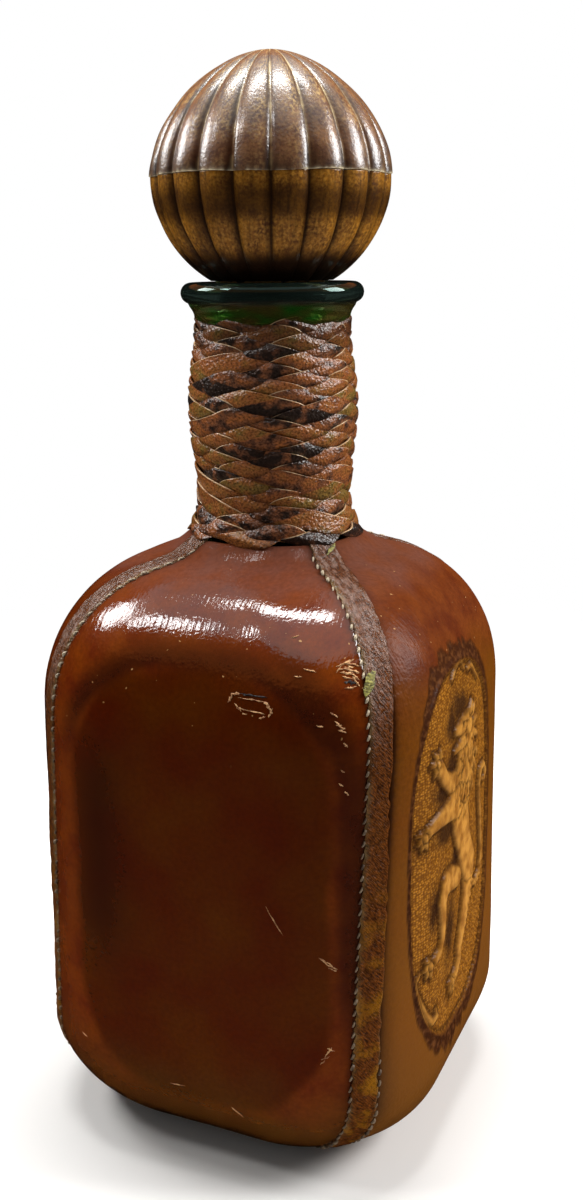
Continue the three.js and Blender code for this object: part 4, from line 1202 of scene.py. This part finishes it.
# each mark is a small lens-shaped flake with a ragged outline that lies on the leather; it is proud by a dome
# that is the product of two parabolas
def tornPlaces():
    marks = np.array(wornMarks, float)
    x = np.linspace(-1, 1, markGrid[0])[None, :, None]
    y = np.linspace(-1, 1, markGrid[1])[None, None]
    along0, height0, length, width, heading, glue, dark = marks.T[:, :, None, None]
    number = np.arange(len(marks))[:, None, None]
    ragged = 1 + (0.9 - 0.75 * glue) * mottle(x * 6 + 5 * number, 2 * y + 7, 91)
    run = x * length / 2 + 0.3 * width * mottle(2 * y + 9, x * 3 + 7 * number, 92)
    side = 0.42 * width * y * np.sqrt(np.clip(1 - x ** 2, 0, 1)) * ragged
    side = side + 0.3 * width * (1 - 0.8 * glue) * mottle(x * 2.2 + 3 * number, 0, 93)
    angle = np.radians(heading)
    along = along0 + run * np.cos(angle) - side * np.sin(angle)
    path = pathAtHeight(height0) + run * np.sin(angle) + side * np.cos(angle)
    dome = (1 - x ** 2) * (1 - y ** 2)
    proud = 0.04 + dome * (0.16 + 0.14 * mottle(x * 5 + number, y * 3, 95)) * (1 - 0.7 * dark) + 0.4 * glue
    skin = skinWave(0, along, path)
    outer = onCover(0, along, stepAtPath(path), -skin - proud - 0.03 * dark)
    under = onCover(0, along, stepAtPath(path), 0.5 - 0.3 * dome - skin)
    points = np.stack([outer, under], 1)
    starts = 2 * markGrid[0] * markGrid[1] * number
    faces = (shellFaces(*markGrid)[None, :, ::-1] + starts).reshape(-1, 4)
    piece = makePiece("torn_leather_marks", points, faces, tornFlesh(),
                      glue=glue[:, None], dark=dark[:, None])
    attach(piece, "bottle")


tornPlaces()
print("worn places made")

# floor, a dark surround that only mirrors show, lamps and white surroundings, in metres
studio = {
    "floorRadius": 1.6, "fadeFrom": 0.1, "fadeTo": 0.5, "floorColour": "#f7f5f2", "ambient": 0.17,
    "screenNear": 0.036, "screenFar": 1.3, "screenFoot": 0.001, "screenTop": 1.6,
    "clothTop": 0.66, "blend": 0.1, "clothColour": "#0e0704", "gelColour": "#c06a30",
    "aim": (0.0, 0.0, 0.13), "rings": 24, "columns": 64,
}
# azimuth and elevation in degrees, distance, width and height in metres, turn about its own axis, watts
lamps = {
    "left_window": (-168, 38.8, 0.404, 0.14, 0.12, 0, 0.95),
    "key_softbox": (-141.5, 48, 0.95, 0.13, 0.14, 0, 1.6),
    "top_strip": (137.5, 83.8, 0.95, 0.6, 0.16, -23.7, 9.4),
    "right_window": (24, 30, 0.95, 0.4, 0.44, 0, 11.0),
}


# white paper that fades out with the distance
def studioFloor():
    s = studio
    radius = np.linspace(0, s["floorRadius"], s["rings"])[:, None] / mm
    material, tree = startMaterial("studio_floor")
    far = addNode(tree, "VectorMath", {0: addNode(tree, "TexCoord").outputs["Object"]}, operation="LENGTH")
    fade = addNode(tree, "MapRange", {"Value": far, "From Min": s["fadeFrom"], "From Max": s["fadeTo"]},
                   interpolation_type="SMOOTHSTEP")
    paper = addNode(tree, "BsdfDiffuse", {"Color": s["floorColour"]})
    mixed = addNode(tree, "MixShader", {0: fade, 1: paper, 2: addNode(tree, "BsdfTransparent")})
    addNode(tree, "OutputMaterial", {"Surface": mixed})
    points = roundAxis(radius, fullTurn(s["columns"]), -0.1)
    makePiece("studio_floor", points, gridFaces(s["rings"], s["columns"], wrap=True), material)


# a bowl round the table, dark cloth below and amber gel above, open on top: it keeps the gloss deep and warm,
# and neither the camera nor the soft light meets it
def darkSurround():
    s = studio
    radius = np.array([s["screenNear"], s["screenFar"], s["screenFar"]])[:, None] / mm
    height = np.array([s["screenFoot"], s["screenFoot"], s["screenTop"]])[:, None] / mm
    material, tree = startMaterial("cloth_and_gel")
    coords = addNode(tree, "SeparateXYZ", {0: addNode(tree, "TexCoord").outputs["Object"]})
    above = addNode(tree, "MapRange", {"Value": coords.outputs["Z"], "From Min": s["clothTop"],
                                       "From Max": s["clothTop"] + s["blend"]})
    cloth = addNode(tree, "BsdfDiffuse", {"Color": s["clothColour"]})
    gel = addNode(tree, "BsdfTransparent", {"Color": s["gelColour"]})
    mixed = addNode(tree, "MixShader", {0: above, 1: cloth, 2: gel})
    addNode(tree, "OutputMaterial", {"Surface": mixed})
    points = roundAxis(radius, fullTurn(s["columns"]), height)
    faces = gridFaces(len(radius), s["columns"], wrap=True)[:, ::-1]
    screen = makePiece("dark_surround", points, faces, material)
    screen.visible_camera = False
    screen.visible_diffuse = False
    screen.visible_shadow = False
    screen.visible_transmission = False


# each lamp hangs on a sphere round the aim and faces it
def studioLamps():
    for name, (azimuth, elevation, distance, width, tall, turn, watts) in lamps.items():
        data = bpy.data.lights.new(name, "AREA")
        data.shape = "RECTANGLE"
        data.size = width
        data.size_y = tall
        data.energy = watts
        lamp = bpy.data.objects.new(name, data)
        azimuth, elevation = math.radians(azimuth), math.radians(elevation)
        level = math.cos(elevation)
        away = np.array([level * math.cos(azimuth), level * math.sin(azimuth), math.sin(elevation)])
        sideways = np.cross((0, 0, 1), away)
        sideways = sideways / np.linalg.norm(sideways)
        axes = np.stack([sideways, np.cross(away, sideways), away], 1)
        place = Matrix(axes.tolist()).to_4x4() @ Matrix.Rotation(math.radians(turn), 4, "Z")
        place.translation = np.array(studio["aim"]) + away * distance
        lamp.matrix_world = place
        lamp.visible_camera = False
        bpy.context.scene.collection.objects.link(lamp)


# white where the camera, mirrors and glass look, a plain soft level for the light that falls on the object
def studioWorld():
    world = bpy.data.worlds.new("studio")
    world.use_nodes = True
    tree = world.node_tree
    tree.nodes.clear()
    path = addNode(tree, "LightPath")
    seen = addNode(tree, "Math", {0: path.outputs["Is Camera Ray"], 1: path.outputs["Is Glossy Ray"]},
                   operation="MAXIMUM")
    seen = addNode(tree, "Math", {0: seen, 1: path.outputs["Is Transmission Ray"]}, operation="MAXIMUM")
    soft, white = (addNode(tree, "Background", {"Color": "#ffffff", "Strength": strength})
                   for strength in (studio["ambient"], 1.0))
    mixed = addNode(tree, "MixShader", {0: seen, 1: soft, 2: white})
    addNode(tree, "OutputWorld", {"Surface": mixed})
    bpy.context.scene.world = world


# the photograph's camera: azimuth round the object, distance and height in mm, angles in degrees,
# focal length, middle and frame in pixels, sensor in mm
view = {"azimuth": 23.83, "distance": 320.0, "height": 207.0, "pitch": 10.4, "roll": 0.62, "focal": 1330.0,
        "middle": (274.6, 504.2), "frame": (583, 1200), "sensor": 36.0, "clip": 0.01}


# level and right turned by the pitch, then by the roll; the lens is the focal length as a share of the frame
def photoCamera():
    azimuth, pitch, roll = (math.radians(view[key]) for key in ("azimuth", "pitch", "roll"))
    level = np.array([-math.sin(azimuth), math.cos(azimuth), 0])
    right = np.array([math.cos(azimuth), math.sin(azimuth), 0])
    ahead = level * math.cos(pitch) - np.array([0, 0, math.sin(pitch)])
    above = level * math.sin(pitch) + np.array([0, 0, math.cos(pitch)])
    across = right * math.cos(roll) - above * math.sin(roll)
    upward = right * math.sin(roll) + above * math.cos(roll)
    wide, tall = view["frame"]
    data = bpy.data.cameras.new("photo_camera")
    data.sensor_width = view["sensor"]
    data.lens = view["focal"] * view["sensor"] / tall
    data.shift_x = (wide / 2 - view["middle"][0]) / tall
    data.shift_y = (view["middle"][1] - tall / 2) / tall
    data.clip_start = view["clip"]
    camera = bpy.data.objects.new("photo_camera", data)
    place = Matrix(np.stack([across, upward, -ahead], 1).tolist()).to_4x4()
    place.translation = np.append(-level[:2] * view["distance"], view["height"]) * mm
    camera.matrix_world = place
    bpy.context.scene.collection.objects.link(camera)
    bpy.context.scene.camera = camera


studioFloor()
darkSurround()
studioLamps()
studioWorld()
photoCamera()
bpy.context.scene.view_settings.view_transform = "Standard"
print("studio ready")
